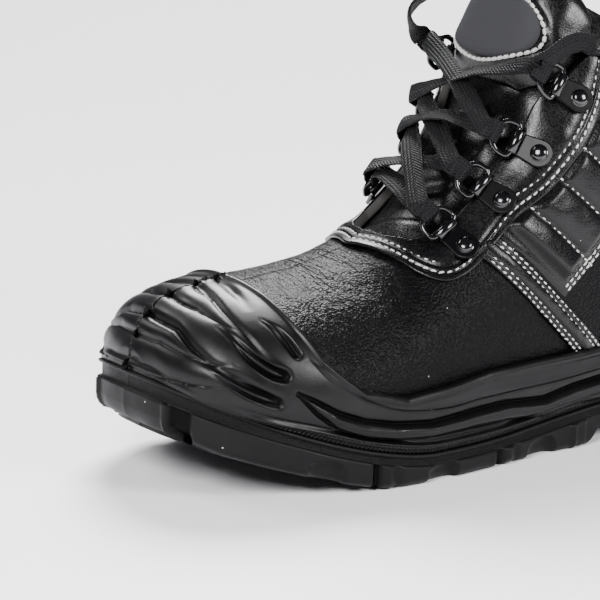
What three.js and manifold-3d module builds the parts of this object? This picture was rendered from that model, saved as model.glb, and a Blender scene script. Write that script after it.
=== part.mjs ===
// Left ankle-high safety boot, size 43, standing unbent on its sole.
// Units are millimetres, +X towards the toe, +Y towards the wearer's left (outer side), +Z up.
// One form function gives the outside of the upper. The wall, linings, overlays, tongue, insole
// and the cup of the sole unit are all cut between copies of that form, grown or shrunk.
import * as THREE from "three";
import { mergeVertices } from "three/addons/utils/BufferGeometryUtils.js";
import Module from "manifold-3d";

const wasm = await Module();
wasm.setup();

// Driving sizes of the whole boot
const shoeLength = 305; // outsole, heel back to toe tip
const ballWidth = 110; // sole unit at the ball
const bootHeight = 156; // floor to the front of the collar line
const footbedHeight = 17; // floor to the underside of the upper at the ball
const legCircumferenceShare = 1; // 1 is a standard shaft
const toeSpring = 23; // rise of the tread at the toe tip

// Walls and clearances
const wall = 2.8; // leather, interlining and lining together
const overlayThickness = 1.5; // facing and band leather
const padThickness = 4; // quilted ankle and collar padding
const fit = 0.3; // gap between pieces that touch
const lastingMargin = 13; // width of upper turned in under the foot
const insoleThickness = 4.5;

// Sole unit
const treadDepth = 5; // lug height
const treadBase = 8.5; // floor of the outsole above the tread face
const partingAtBall = 11; // outsole edge height at the ball
const partingAtToe = 43; // the outsole wraps up over the toe tip to here
const partingAtHeel = 18;
const archRise = 7; // the tread is hollowed under the waist by this much
const rimWidth = 4.5; // outsole rim that wraps the midsole
const rimBevel = 1.6; // step at the parting line
const cupThickness = 3; // moulded side wall and toe guard over the leather
const guardLength = 43; // toe tip to the guard's rear edge, on the centre line
const guardRibs = 4; // rounded ribs round the toe, with grooves between them
const ribGroove = 1.6;
const reliefDepth = 1.3; // grooves of the guard and the claws on its sides
const clawWidth = 5;
const sideBarHeight = 1.3; // raised bar along the side of the cup
const underCup = 1.3; // midsole between the upper and the outsole rim
const grooveWidth = 5;

// Tongue, lacing and metalwork
const throatFront = 200; // centre front of the throat, from the heel back
const throatOuter = 26; // half width of the throat on the outer side
const throatInner = 21;
const throatOpens = 8; // each half widens by this much towards the collar
const tongueThickness = 5;
const tongueUnder = 9; // how far the tongue runs under each side of the throat
const tonguePadThickness = 9;
const tonguePadHeight = 46;
const tonguePadWidth = 56;
const patchWidth = 47;
const patchHeight = 31;
const patchThickness = 1.2;
const laceWidth = 8;
const laceThickness = 2;
const laceLift = 2.5; // middle of a crossing above the throat's own surface
const ringWire = 2.2; // wire diameter
const ringBar = 13; // straight side of a D-ring, between wire centres
const ringReach = 9; // how far the bow reaches beyond the bar
const clipLength = 9.8; // rivet centre to the ring's bar
const clipWidth = 11;
const clipThickness = 1.8; // plate folded double
const rivetHead = 6.6; // head diameter
const rivetHeight = 1.7;

// Resolution of the lofts
const ringsAlong = 28; // outside of the upper and everything cut on it
const pointsAround = 24;
const innerRingsAlong = 17;
const innerPointsAround = 20;
const outlineSteps = 36;

const clamp = THREE.MathUtils.clamp;
const lerp = THREE.MathUtils.lerp;
const smoothstep = THREE.MathUtils.smoothstep;
const risingHeight = bootHeight - footbedHeight;

// Upper sections from toe tip to above the collar. Each plane holds a bottom point and a top
// point of the side view: x as a share of shoeLength, z as a share of risingHeight above the
// footbed. Half widths are shares of ballWidth, widest is a share of the way from bottom to
// top, and the two round columns are superellipse powers (1 is an ellipse, less is squarer).
const upperSections = [
  { bottomX: 0.979, bottomZ: 0.151, topX: 0.979, topZ: 0.23, outer: 0.085, inner: 0.09, widest: 0.5, lowRound: 1.0, highRound: 1.0 },
  { bottomX: 0.974, bottomZ: 0.119, topX: 0.972, topZ: 0.281, outer: 0.19, inner: 0.172, widest: 0.45, lowRound: 0.85, highRound: 1.06 },
  { bottomX: 0.962, bottomZ: 0.101, topX: 0.957, topZ: 0.324, outer: 0.28, inner: 0.268, widest: 0.41, lowRound: 0.75, highRound: 1.06 },
  { bottomX: 0.938, bottomZ: 0.079, topX: 0.93, topZ: 0.36, outer: 0.358, inner: 0.345, widest: 0.38, lowRound: 0.7, highRound: 1.04 },
  { bottomX: 0.892, bottomZ: 0.047, topX: 0.884, topZ: 0.381, outer: 0.423, inner: 0.41, widest: 0.35, lowRound: 0.68, highRound: 0.98 },
  { bottomX: 0.826, bottomZ: 0.022, topX: 0.82, topZ: 0.394, outer: 0.462, inner: 0.45, widest: 0.33, lowRound: 0.66, highRound: 1.0 },
  { bottomX: 0.748, bottomZ: 0.003, topX: 0.748, topZ: 0.421, outer: 0.477, inner: 0.456, widest: 0.32, lowRound: 0.66, highRound: 1.1 },
  { bottomX: 0.672, bottomZ: 0.0, topX: 0.68, topZ: 0.457, outer: 0.467, inner: 0.415, widest: 0.31, lowRound: 0.66, highRound: 1.05 },
  { bottomX: 0.59, bottomZ: 0.006, topX: 0.61, topZ: 0.529, outer: 0.44, inner: 0.375, widest: 0.3, lowRound: 0.66, highRound: 0.87 },
  { bottomX: 0.498, bottomZ: 0.022, topX: 0.549, topZ: 0.644, outer: 0.42, inner: 0.355, widest: 0.3, lowRound: 0.66, highRound: 0.74 },
  { bottomX: 0.387, bottomZ: 0.043, topX: 0.503, topZ: 0.77, outer: 0.41, inner: 0.365, widest: 0.32, lowRound: 0.68, highRound: 0.64 },
  { bottomX: 0.246, bottomZ: 0.072, topX: 0.48, topZ: 0.906, outer: 0.405, inner: 0.385, widest: 0.38, lowRound: 0.7, highRound: 0.62 },
  { bottomX: 0.095, bottomZ: 0.108, topX: 0.459, topZ: 0.996, outer: 0.397, inner: 0.385, widest: 0.44, lowRound: 0.76, highRound: 0.64 },
  { bottomX: 0.03, bottomZ: 0.266, topX: 0.443, topZ: 1.072, outer: 0.387, inner: 0.38, widest: 0.48, lowRound: 0.8, highRound: 0.7 },
  { bottomX: 0.026, bottomZ: 0.525, topX: 0.428, topZ: 1.137, outer: 0.385, inner: 0.38, widest: 0.5, lowRound: 0.84, highRound: 0.78 },
  { bottomX: 0.044, bottomZ: 0.799, topX: 0.416, topZ: 1.201, outer: 0.393, inner: 0.388, widest: 0.5, lowRound: 0.88, highRound: 0.82 },
  { bottomX: 0.048, bottomZ: 1.029, topX: 0.407, topZ: 1.281, outer: 0.4, inner: 0.395, widest: 0.5, lowRound: 0.9, highRound: 0.84 },
  { bottomX: 0.046, bottomZ: 1.209, topX: 0.397, topZ: 1.374, outer: 0.405, inner: 0.4, widest: 0.5, lowRound: 0.9, highRound: 0.84 },
];
const lastRow = upperSections.length - 1;
const shaftRow = 11; // rows from here up belong to the ankle and shaft
const toeRows = 4; // rows whose planes move forward as the form grows

// Sole outline from toe tip to heel back: x as a share of shoeLength, y as shares of ballWidth.
const soleOutline = [
  { x: 1.0, outer: 0.0, inner: 0.0 },
  { x: 0.993, outer: 0.15, inner: 0.175 },
  { x: 0.967, outer: 0.285, inner: 0.315 },
  { x: 0.915, outer: 0.395, inner: 0.415 },
  { x: 0.84, outer: 0.468, inner: 0.468 },
  { x: 0.75, outer: 0.5, inner: 0.488 },
  { x: 0.66, outer: 0.497, inner: 0.462 },
  { x: 0.56, outer: 0.458, inner: 0.4 },
  { x: 0.46, outer: 0.41, inner: 0.34 },
  { x: 0.36, outer: 0.38, inner: 0.322 },
  { x: 0.25, outer: 0.365, inner: 0.338 },
  { x: 0.15, outer: 0.354, inner: 0.344 },
  { x: 0.065, outer: 0.292, inner: 0.29 },
  { x: 0.018, outer: 0.17, inner: 0.17 },
  { x: 0.0, outer: 0.0, inner: 0.0 },
];

// Catmull-Rom through one column of a table, at a fractional row.
function columnAt(table, column, row) {
  const last = table.length - 1;
  const i = clamp(Math.floor(row), 0, last - 1);
  const t = row - i;
  const value = (k) => {
    if (k < 0) return 2 * table[0][column] - table[1][column];
    if (k > last) return 2 * table[last][column] - table[last - 1][column];
    return table[k][column];
  };
  const [a, b, c, d] = [value(i - 1), value(i), value(i + 1), value(i + 2)];
  return b + 0.5 * t * (c - a + t * (2 * a - 5 * b + 4 * c - d + t * (3 * (b - c) + d - a)));
}

// Point of the upper's outside at a fractional row and an angle round the section:
// 0 is the bottom, a quarter turn the outer side, a half turn the top.
function formPoint(row, angle, grow = 0) {
  const at = (column) => columnAt(upperSections, column, row);
  const girth = row > shaftRow ? lerp(1, legCircumferenceShare, smoothstep(row, shaftRow, lastRow)) : 1;
  const bottom = new THREE.Vector2(at("bottomX") * shoeLength, footbedHeight + at("bottomZ") * risingHeight);
  const top = new THREE.Vector2(at("topX") * shoeLength, footbedHeight + at("topZ") * risingHeight);
  const along = top.clone().sub(bottom).normalize();
  bottom.addScaledVector(along, -grow);
  top.addScaledVector(along, grow);
  const up = -Math.cos(angle);
  const side = Math.sin(angle);
  const power = up < 0 ? at("lowRound") : at("highRound");
  const widest = at("widest");
  const share = widest + (up < 0 ? -widest : 1 - widest) * Math.abs(up) ** power;
  const half = (side > 0 ? at("outer") : at("inner")) * ballWidth * girth + grow;
  const inPlane = bottom.lerp(top, share);
  const forward = grow * smoothstep(toeRows - row, 0, toeRows);
  return new THREE.Vector3(inPlane.x + forward, Math.sign(side) * half * Math.abs(side) ** power, inPlane.y);
}

// Outward frame of the form: point, normal and the way towards the collar.
function formFrame(row, angle, grow) {
  const small = 0.02;
  const point = formPoint(row, angle, grow);
  const climb = formPoint(row + small, angle, grow).sub(formPoint(row - small, angle, grow)).normalize();
  const round = formPoint(row, angle + small, grow).sub(formPoint(row, angle - small, grow)).normalize();
  const outward = new THREE.Vector3().crossVectors(climb, round).normalize();
  return { point, outward, climb };
}

// Angle at which the form is a given distance from the centre plane, above its widest point.
function angleAtWidth(row, side, distance, grow) {
  let low = Math.PI / 2;
  let high = Math.PI;
  for (let i = 0; i < 40; i += 1) {
    const middle = (low + high) / 2;
    if (Math.abs(formPoint(row, side > 0 ? middle : 2 * Math.PI - middle, grow).y) > distance) low = middle;
    else high = middle;
  }
  return side > 0 ? (low + high) / 2 : 2 * Math.PI - (low + high) / 2;
}

// Solid from rings of points that all have the same count. Ends are closed by fans.
function solidFromRings(rings) {
  const count = rings[0].length;
  const positions = rings.flat().flatMap((p) => [p.x, p.y, p.z]);
  const faces = [];
  for (let r = 0; r + 1 < rings.length; r += 1)
    for (let i = 0; i < count; i += 1) {
      const a = r * count + i;
      const b = r * count + ((i + 1) % count);
      faces.push(a, b, b + count, a, b + count, a + count);
    }
  const addCap = (ring, offset, flip) => {
    const centre = ring.reduce((sum, p) => sum.add(p), new THREE.Vector3()).divideScalar(count);
    const hub = positions.length / 3;
    positions.push(centre.x, centre.y, centre.z);
    for (let i = 0; i < count; i += 1) {
      const j = (i + 1) % count;
      faces.push(hub, offset + (flip ? j : i), offset + (flip ? i : j));
    }
  };
  addCap(rings[0], 0, true);
  addCap(rings[rings.length - 1], (rings.length - 1) * count, false);
  return solidFromTriangles(positions, faces);
}

function solidFromTriangles(positions, faces) {
  const geometry = new THREE.BufferGeometry();
  geometry.setAttribute("position", new THREE.Float32BufferAttribute(positions, 3));
  geometry.setIndex(faces);
  return solidOf(geometry);
}

// Closed three.js geometry as a solid, turned to face outwards.
function solidOf(source) {
  const bare = source.clone();
  bare.deleteAttribute("normal");
  bare.deleteAttribute("uv");
  const merged = mergeVertices(bare, 1e-4);
  const triVerts = new Uint32Array(merged.index.array).filter((v, i, all) => {
    const first = i - (i % 3);
    const [a, b, c] = [all[first], all[first + 1], all[first + 2]];
    return a !== b && b !== c && c !== a;
  });
  const vertProperties = merged.attributes.position.array;
  const make = (verts) => new wasm.Manifold(new wasm.Mesh({ numProp: 3, vertProperties, triVerts: verts }));
  const solid = make(triVerts);
  if (solid.volume() > 0) return solid;
  for (let i = 0; i < triVerts.length; i += 3)
    [triVerts[i + 1], triVerts[i + 2]] = [triVerts[i + 2], triVerts[i + 1]];
  return make(triVerts);
}

function geometryOf(solid) {
  const mesh = solid.getMesh();
  const positions = new Float32Array(mesh.numVert * 3);
  for (let i = 0; i < mesh.numVert; i += 1)
    positions.set(mesh.vertProperties.subarray(i * mesh.numProp, i * mesh.numProp + 3), i * 3);
  const geometry = new THREE.BufferGeometry();
  geometry.setAttribute("position", new THREE.BufferAttribute(positions, 3));
  geometry.setIndex(new THREE.BufferAttribute(new Uint32Array(mesh.triVerts), 1));
  geometry.computeVertexNormals();
  return geometry;
}

const join = (solids) => solids.reduce((sum, solid) => sum.add(solid));

// Largest body of a solid, dropping slivers that a cut has left.
function mainBody(solid) {
  return solid.decompose().sort((a, b) => b.volume() - a.volume())[0];
}

// Whole form, grown or shrunk.
function formSolid(grow, rings = ringsAlong, around = pointsAround) {
  const ring = (row) =>
    Array.from({ length: around }, (_, i) => formPoint(row, (i / around) * 2 * Math.PI, grow));
  return solidFromRings(Array.from({ length: rings + 1 }, (_, k) => ring((k / rings) * lastRow)));
}

// Hollow inside of the upper, and anything that is worn inside it.
const innerForm = (grow) => formSolid(grow, innerRingsAlong, innerPointsAround);

// Prism across the boot from a side-view outline of [x, z] points, between two y values.
function sidePrism(points, fromY = -ballWidth, toY = ballWidth) {
  const shape = new THREE.Shape(points.map(([x, z]) => new THREE.Vector2(x, z)));
  const geometry = new THREE.ExtrudeGeometry(shape, { depth: toY - fromY, bevelEnabled: false });
  geometry.rotateX(Math.PI / 2).translate(0, toY, 0);
  return solidOf(geometry);
}

// Prism straight up from a plan-view outline of [x, y] points, between two z values.
function planPrism(points, fromZ, toZ) {
  const shape = new THREE.Shape(points.map(([x, y]) => new THREE.Vector2(x, y)));
  return solidOf(new THREE.ExtrudeGeometry(shape, { depth: toZ - fromZ, bevelEnabled: false }).translate(0, 0, fromZ));
}

// Smooth side-view or plan-view line through [a, b] points.
function curveThrough(points, divisions) {
  const curve = new THREE.SplineCurve(points.map(([a, b]) => new THREE.Vector2(a, b)));
  return curve.getPoints(divisions).map((p) => [p.x, p.y]);
}

// The same line set off to its left by a distance.
function offsetLine(points, distance) {
  return points.map(([a, b], i) => {
    const [a0, b0] = points[Math.max(0, i - 1)];
    const [a1, b1] = points[Math.min(points.length - 1, i + 1)];
    const length = Math.hypot(a1 - a0, b1 - b0);
    return [a - (distance * (b1 - b0)) / length, b + (distance * (a1 - a0)) / length];
  });
}

// Side-view points from a table of x as shares of shoeLength and z as shares of risingHeight.
const sidePoints = (table) => table.map(({ x, z }) => [x * shoeLength, footbedHeight + z * risingHeight]);

// Sole outline point at a share of the way from toe tip (0) to heel back (1), set in by a distance.
function outlinePoint(share, side, inset = 0) {
  const last = soleOutline.length - 1;
  const at = (t) => {
    const row = clamp(t, 0, 1) * last;
    const width = columnAt(soleOutline, side > 0 ? "outer" : "inner", row) * ballWidth;
    return new THREE.Vector2(columnAt(soleOutline, "x", row) * shoeLength, side * width);
  };
  const point = at(share);
  if (share <= 0) return point.setX(point.x - inset);
  if (share >= 1) return point.setX(point.x + inset);
  const small = 0.004;
  const way = at(share + small).sub(at(share - small)).normalize();
  return point.add(new THREE.Vector2(-way.y, way.x).multiplyScalar(side > 0 ? inset : -inset));
}

// Solid from levels of the sole outline, bottom first. A level has an inset and a height at x.
function outlineSolid(levels) {
  const rings = levels.map(({ inset, height }) => {
    const ring = [];
    for (let i = 0; i <= outlineSteps; i += 1) ring.push(outlinePoint(i / outlineSteps, 1, inset));
    for (let i = outlineSteps - 1; i >= 1; i -= 1) ring.push(outlinePoint(i / outlineSteps, -1, inset));
    return ring.map((p) => new THREE.Vector3(p.x, p.y, height(p.x)));
  });
  const count = rings[0].length;
  const positions = rings.flat().flatMap((p) => [p.x, p.y, p.z]);
  const faces = [];
  for (let r = 0; r + 1 < rings.length; r += 1)
    for (let i = 0; i < count; i += 1) {
      const a = r * count + i;
      const b = r * count + ((i + 1) % count);
      faces.push(a, b, b + count, a, b + count, a + count);
    }
  const addCap = (offset, flip) => {
    const add = (a, b, c) => faces.push(offset + a, offset + (flip ? c : b), offset + (flip ? b : c));
    for (let i = 0; i < outlineSteps; i += 1) {
      const near = (count - i) % count;
      if (i > 0) add(i, near, i + 1);
      if (i < outlineSteps - 1) add(near, count - i - 1, i + 1);
    }
  };
  addCap(0, false);
  addCap((rings.length - 1) * count, true);
  return solidFromTriangles(positions, faces);
}

// Heights along the sole
const springStart = 0.728 * shoeLength; // the tread leaves the floor here, towards the toe
const archFrom = 0.27 * shoeLength; // heel breast
const archTo = 0.385 * shoeLength; // rear end of the forefoot tread
const heelBevel = 0.045 * shoeLength; // the tread lifts slightly behind this
function treadHeight(x) {
  const spring = toeSpring * clamp((x - springStart) / (shoeLength - springStart), 0, 1) ** 1.2;
  return spring + 3 * clamp((heelBevel - x) / heelBevel, 0, 1) ** 1.5;
}
function bottomHeight(x) {
  const hollow = smoothstep(x, archFrom, archFrom + treadBase) * (1 - smoothstep(x, archTo - treadBase, archTo));
  return treadHeight(x) + archRise * hollow;
}
function partingHeight(x) {
  const toe = (partingAtToe - partingAtBall) * clamp((x / shoeLength - 0.66) / 0.34, 0, 1) ** 1.55;
  const heel = (partingAtHeel - partingAtBall) * smoothstep(0.6 - x / shoeLength, 0, 0.36);
  return partingAtBall + toe + heel;
}
const coreHeight = (x) => Math.min(partingHeight(x) - rimBevel, treadHeight(x) + treadBase);

// Upper edge of the moulded cup and toe guard in the side view, heel to toe.
const cupEdge = curveThrough(
  sidePoints([
    { x: -0.02, z: 0.34 },
    { x: 0.07, z: 0.31 },
    { x: 0.17, z: 0.22 },
    { x: 0.3, z: 0.168 },
    { x: 0.42, z: 0.155 },
    { x: 0.5, z: 0.152 },
    { x: 0.575, z: 0.148 },
    { x: 0.64, z: 0.128 },
    { x: 0.71, z: 0.12 },
    { x: 0.775, z: 0.155 },
    { x: 0.815, z: 0.225 },
    { x: 0.838, z: 0.31 },
  ]).concat([[shoeLength - guardLength, footbedHeight + 0.43 * risingHeight]]),
  40,
);
function cupTop(x) {
  const i = cupEdge.findIndex(([edgeX]) => edgeX >= x);
  if (i < 1) return cupEdge[cupEdge.length - 1][1];
  const [[x0, z0], [x1, z1]] = [cupEdge[i - 1], cupEdge[i]];
  return lerp(z0, z1, (x - x0) / (x1 - x0));
}

// Claws on both sides of the guard, in the side view: the pointed start and the blunt end, with
// x in shares of shoeLength and z in shares of risingHeight above the footbed.
const claws = [
  { startX: 0.882, startZ: 0.335, endX: 0.85, endZ: 0.255 },
  { startX: 0.93, startZ: 0.35, endX: 0.868, endZ: 0.215 },
  { startX: 0.962, startZ: 0.28, endX: 0.882, endZ: 0.15 },
];
const barLine = [
  { x: 0.4, low: 0.045, high: 0.05 },
  { x: 0.43, low: 0.022, high: 0.062 },
  { x: 0.52, low: 0.018, high: 0.066 },
  { x: 0.6, low: 0.014, high: 0.06 },
  { x: 0.68, low: 0.008, high: 0.05 },
  { x: 0.76, low: 0.022, high: 0.07 },
  { x: 0.82, low: 0.07, high: 0.125 },
  { x: 0.856, low: 0.155, high: 0.16 },
];

// Everything that is moulded into the cup's outer face: grooves between the toe ribs and the claws.
function guardGrooves() {
  const cuts = claws.map((claw) => {
    const [start, end] = sidePoints([{ x: claw.startX, z: claw.startZ }, { x: claw.endX, z: claw.endZ }]);
    const line = offsetLine([start, end], clawWidth / 2);
    const blunt = [2 * end[0] - line[1][0], 2 * end[1] - line[1][1]];
    return sidePrism([start, blunt, line[1]]);
  });
  const guardTop = footbedHeight + 0.36 * risingHeight;
  for (let i = 1; i < guardRibs; i += 1) {
    const z = lerp(partingAtToe, guardTop, i / guardRibs);
    const from = 0.955 * shoeLength;
    cuts.push(sidePrism([[from, z], [shoeLength, z - ribGroove / 2], [shoeLength, z + ribGroove / 2]]));
  }
  return join(cuts).subtract(formSolid(cupThickness - reliefDepth));
}

function sideBar() {
  const low = sidePoints(barLine.map(({ x, low }) => ({ x, z: low })));
  const high = sidePoints(barLine.map(({ x, high }) => ({ x, z: high }))).reverse();
  return formSolid(cupThickness + sideBarHeight).intersect(sidePrism([...low, ...high]));
}

// Lacing: row of the form at the rivets of each side, their distance from the centre plane as a
// share of ballWidth, how far the clip leans towards the toe, and the rise of the ring's bow.
const lacing = [
  { outerRow: 8.22, outerY: 0.33, innerRow: 8.6, innerY: 0.275, lean: 2, tilt: 14 },
  { outerRow: 9.12, outerY: 0.325, innerRow: 9.5, innerY: 0.275, lean: 2, tilt: 16 },
  { outerRow: 10.12, outerY: 0.338, innerRow: 10.35, innerY: 0.3, lean: 0, tilt: 18 },
  { outerRow: 11.6, outerY: 0.35, innerRow: 11.7, innerY: 0.34, lean: 6, tilt: 22 },
];
const lacingRow = (index, side) => lacing[index][side > 0 ? "outerRow" : "innerRow"];

// Throat in the plan view: distance back from its front as shares of shoeLength, and which part
// of its half width it has there, and of its widening towards the collar.
const throatLine = [
  { back: 0.0, front: 0.0, top: 0 },
  { back: 0.006, front: 0.4, top: 0 },
  { back: 0.022, front: 0.75, top: 0 },
  { back: 0.05, front: 0.95, top: 0 },
  { back: 0.08, front: 1, top: 0 },
  { back: 0.14, front: 1, top: 0.1 },
  { back: 0.18, front: 1, top: 0.4 },
  { back: 0.22, front: 1, top: 0.85 },
  { back: 0.28, front: 1, top: 1 },
  { back: 0.46, front: 1, top: 1 },
];
function throatPrism() {
  const edge = (half) =>
    throatLine.map(({ back, front, top }) => [throatFront - back * shoeLength, half * front + throatOpens * top]);
  const inner = edge(throatInner).slice(1).map(([x, y]) => [x, -y]).reverse();
  return planPrism([...edge(throatOuter), ...inner], footbedHeight + 0.3 * risingHeight, 3 * bootHeight);
}

// Outer edge of the facing in the side view, from the vamp to the collar.
const facingEdge = curveThrough(
  sidePoints([
    { x: 0.72, z: 0.62 },
    { x: 0.695, z: 0.48 },
    { x: 0.665, z: 0.435 },
    { x: 0.635, z: 0.4 },
    { x: 0.61, z: 0.398 },
    { x: 0.58, z: 0.43 },
    { x: 0.55, z: 0.485 },
    { x: 0.514, z: 0.555 },
    { x: 0.46, z: 0.64 },
    { x: 0.393, z: 0.82 },
    { x: 0.35, z: 1.1 },
  ]),
  26,
);
const bandLine = sidePoints([{ x: 0.561, z: 0.486 }, { x: 0.38, z: 0.122 }]);
const bandWidth = 10.8;

// Lower edge of the ankle padding in the side view, from the band to behind the heel.
const padEdge = curveThrough(
  sidePoints([
    { x: 0.449, z: 0.325 },
    { x: 0.42, z: 0.38 },
    { x: 0.385, z: 0.45 },
    { x: 0.32, z: 0.59 },
    { x: 0.23, z: 0.69 },
    { x: 0.12, z: 0.72 },
    { x: -0.05, z: 0.72 },
  ]),
  20,
);

// Collar line in the side view, from behind the heel to in front of the shin.
const collarLine = curveThrough(
  sidePoints([
    { x: -0.1, z: 0.985 },
    { x: 0.05, z: 0.975 },
    { x: 0.15, z: 0.935 },
    { x: 0.25, z: 0.925 },
    { x: 0.33, z: 0.955 },
    { x: 0.4, z: 1.0 },
    { x: 0.5, z: 1.06 },
  ]),
  16,
);
const aboveCollar = () => sidePrism([...collarLine, [shoeLength, 3 * bootHeight], [-shoeLength, 3 * bootHeight]]);

function makeOutsole() {
  const block = outlineSolid([
    { inset: 3, height: bottomHeight },
    { inset: 0.8, height: (x) => bottomHeight(x) + 1.5 },
    { inset: 0, height: (x) => bottomHeight(x) + 3 },
    { inset: 0, height: (x) => partingHeight(x) - rimBevel },
    { inset: rimBevel, height: partingHeight },
    { inset: rimWidth, height: partingHeight },
    { inset: rimWidth + fit, height: coreHeight },
  ]);
  return mainBody(block.subtract(treadGrooves()).subtract(formSolid(underCup + fit)));
}

// Grooves between the lugs. Each row has the groove's ends as shares of shoeLength and of half
// the ball width, and runs out through the side wall where its second end is past 1.
const grooves = [
  { x: 0.955, y: 0.5, toX: 0.975, toY: 1.15 },
  { x: 0.86, y: 0.15, toX: 0.885, toY: 0.8 },
  { x: 0.72, y: 0.15, toX: 0.755, toY: 1.2 },
  { x: 0.63, y: 0.25, toX: 0.645, toY: 0.8 },
  { x: 0.52, y: 0.15, toX: 0.55, toY: 1.2 },
  { x: 0.45, y: 0.2, toX: 0.455, toY: 0.62 },
  { x: 0.19, y: 0.15, toX: 0.205, toY: 1.1 },
  { x: 0.1, y: 0.15, toX: 0.11, toY: 1.1 },
];
function treadGrooves() {
  const cuts = [];
  for (const side of [1, -1])
    for (const groove of grooves) {
      const half = ballWidth / 2;
      const line = [
        [groove.x * shoeLength, side * groove.y * half],
        [groove.toX * shoeLength, side * groove.toY * half],
      ];
      const outline = [...offsetLine(line, grooveWidth / 2), ...offsetLine(line, -grooveWidth / 2).reverse()];
      cuts.push(planPrism(outline, -treadDepth, treadHeight(groove.x * shoeLength) + treadDepth));
    }
  const spine = (from, to) => {
    const y = grooveWidth / 2;
    const outline = [[from, -y], [to, -y], [to, y], [from, y]].map(([x, w]) => [x * shoeLength, w]);
    cuts.push(planPrism(outline, -treadDepth, treadHeight(from * shoeLength) + treadDepth));
  };
  spine(0.42, 0.88);
  spine(0.05, 0.24);
  return join(cuts);
}

function makeMidsole() {
  const wallHeight = (x) => {
    const share = x / shoeLength;
    const side = lerp(0.16, 0.03, smoothstep(share, 0.78, 0.95));
    return lerp(0.27, side, smoothstep(share, 0.03, 0.32)) * risingHeight;
  };
  const sideTop = (x) => Math.min(cupTop(x), partingHeight(x) + wallHeight(x));
  const sideAt = (share) => (x) => lerp(partingHeight(x) + fit, sideTop(x), share);
  const slab = outlineSolid([
    { inset: rimWidth + 2 * fit, height: (x) => coreHeight(x) + fit },
    { inset: rimWidth + fit, height: (x) => partingHeight(x) + fit },
    { inset: rimBevel, height: (x) => partingHeight(x) + fit },
    { inset: 0.4, height: (x) => partingHeight(x) + fit + rimBevel },
    { inset: 0.4, height: sideAt(0.45) },
    { inset: 1.8, height: sideAt(0.75) },
    { inset: 5.5, height: sideAt(0.99) },
  ]);
  const toeToHeel = (_, i) => (1.02 - (1.04 * i) / outlineSteps) * shoeLength;
  const along = Array.from({ length: outlineSteps + 1 }, toeToHeel);
  const overParting = along.map((x) => [x, partingHeight(x) + 2 * fit]);
  const heelTop = [-0.02 * shoeLength, cupEdge[0][1]];
  const cupRegion = [heelTop, ...cupEdge, [1.02 * shoeLength, 0.7 * bootHeight], ...overParting];
  const cup = formSolid(cupThickness).intersect(sidePrism(cupRegion)).subtract(guardGrooves()).add(sideBar());
  const overCore = along.map((x) => [x, coreHeight(x) + fit]);
  const wrap = formSolid(underCup).intersect(sidePrism([...overParting].reverse().concat(overCore)));
  return mainBody(slab.add(cup).add(wrap).subtract(formSolid(fit)));
}

function makeUpper() {
  const underneath = outlineSolid([
    { inset: lastingMargin, height: () => -footbedHeight },
    { inset: lastingMargin, height: () => footbedHeight + 0.2 * risingHeight },
  ]);
  const shell = formSolid(0).subtract(innerForm(-wall)).subtract(underneath);
  return mainBody(shell.subtract(throatPrism()).subtract(aboveCollar()));
}

function makeInsole() {
  const top = upperSections.slice(0, shaftRow + 2).map(({ bottomX, bottomZ }) => [
    bottomX * shoeLength,
    footbedHeight + bottomZ * risingHeight + wall + fit + insoleThickness,
  ]);
  const [[, toeZ]] = top;
  const heelZ = top[top.length - 1][1];
  const behind = [[-shoeLength, heelZ], [-shoeLength, -bootHeight]];
  const ahead = [[2 * shoeLength, -bootHeight], [2 * shoeLength, toeZ]];
  return mainBody(innerForm(-wall - fit).intersect(sidePrism([...top, ...behind, ...ahead])));
}

// Closed sheet that follows the front of the form. Each strip across has an outer and an inner
// edge of points, so a strip is a closed ring, and the ends are closed by strips too.
function solidFromStrips(strips) {
  const width = strips[0].outer.length;
  const rings = strips.map(({ outer, inner }) => [...outer, ...[...inner].reverse()]);
  const count = 2 * width;
  const positions = rings.flat().flatMap((p) => [p.x, p.y, p.z]);
  const faces = [];
  for (let r = 0; r + 1 < rings.length; r += 1)
    for (let i = 0; i < count; i += 1) {
      const a = r * count + i;
      const b = r * count + ((i + 1) % count);
      faces.push(a, b, b + count, a, b + count, a + count);
    }
  for (const [offset, flip] of [[0, true], [(rings.length - 1) * count, false]])
    for (let i = 0; i + 1 < width; i += 1) {
      const quad = [i, i + 1, count - 2 - i, count - 1 - i].map((k) => offset + k);
      if (flip) quad.reverse();
      faces.push(quad[0], quad[1], quad[2], quad[0], quad[2], quad[3]);
    }
  return solidFromTriangles(positions, faces);
}

// One strip across the front of the form at a row: half width, and growth at each place across.
function frontStrip(row, half, across, outerGrow, innerGrow) {
  const points = (growAt) =>
    Array.from({ length: across + 1 }, (_, i) => {
      const share = (2 * i) / across - 1;
      const grow = growAt(share);
      const angle = share === 0 ? Math.PI : angleAtWidth(row, Math.sign(share), Math.abs(share) * half, grow);
      return formPoint(row, angle, grow);
    });
  return { outer: points(outerGrow), inner: points(innerGrow) };
}

// Half width of the throat's narrow side at a row, from its plan-view line.
function throatHalfAt(row) {
  const back = throatFront - formPoint(row, Math.PI, 0).x;
  const i = throatLine.findIndex((entry) => entry.back * shoeLength >= back);
  if (i < 1) return 0;
  const [a, b] = [throatLine[i - 1], throatLine[i]];
  const share = (back / shoeLength - a.back) / (b.back - a.back);
  return throatInner * lerp(a.front, b.front, share) + throatOpens * lerp(a.top, b.top, share);
}

const tongueStart = 7.15; // rows of the form
const tongueEnd = 14.3;
const padStart = 11.35;
const padEnd = 14.75;
const underWall = wall + 3 * fit; // the tongue clears the coarser inner wall too

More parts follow.
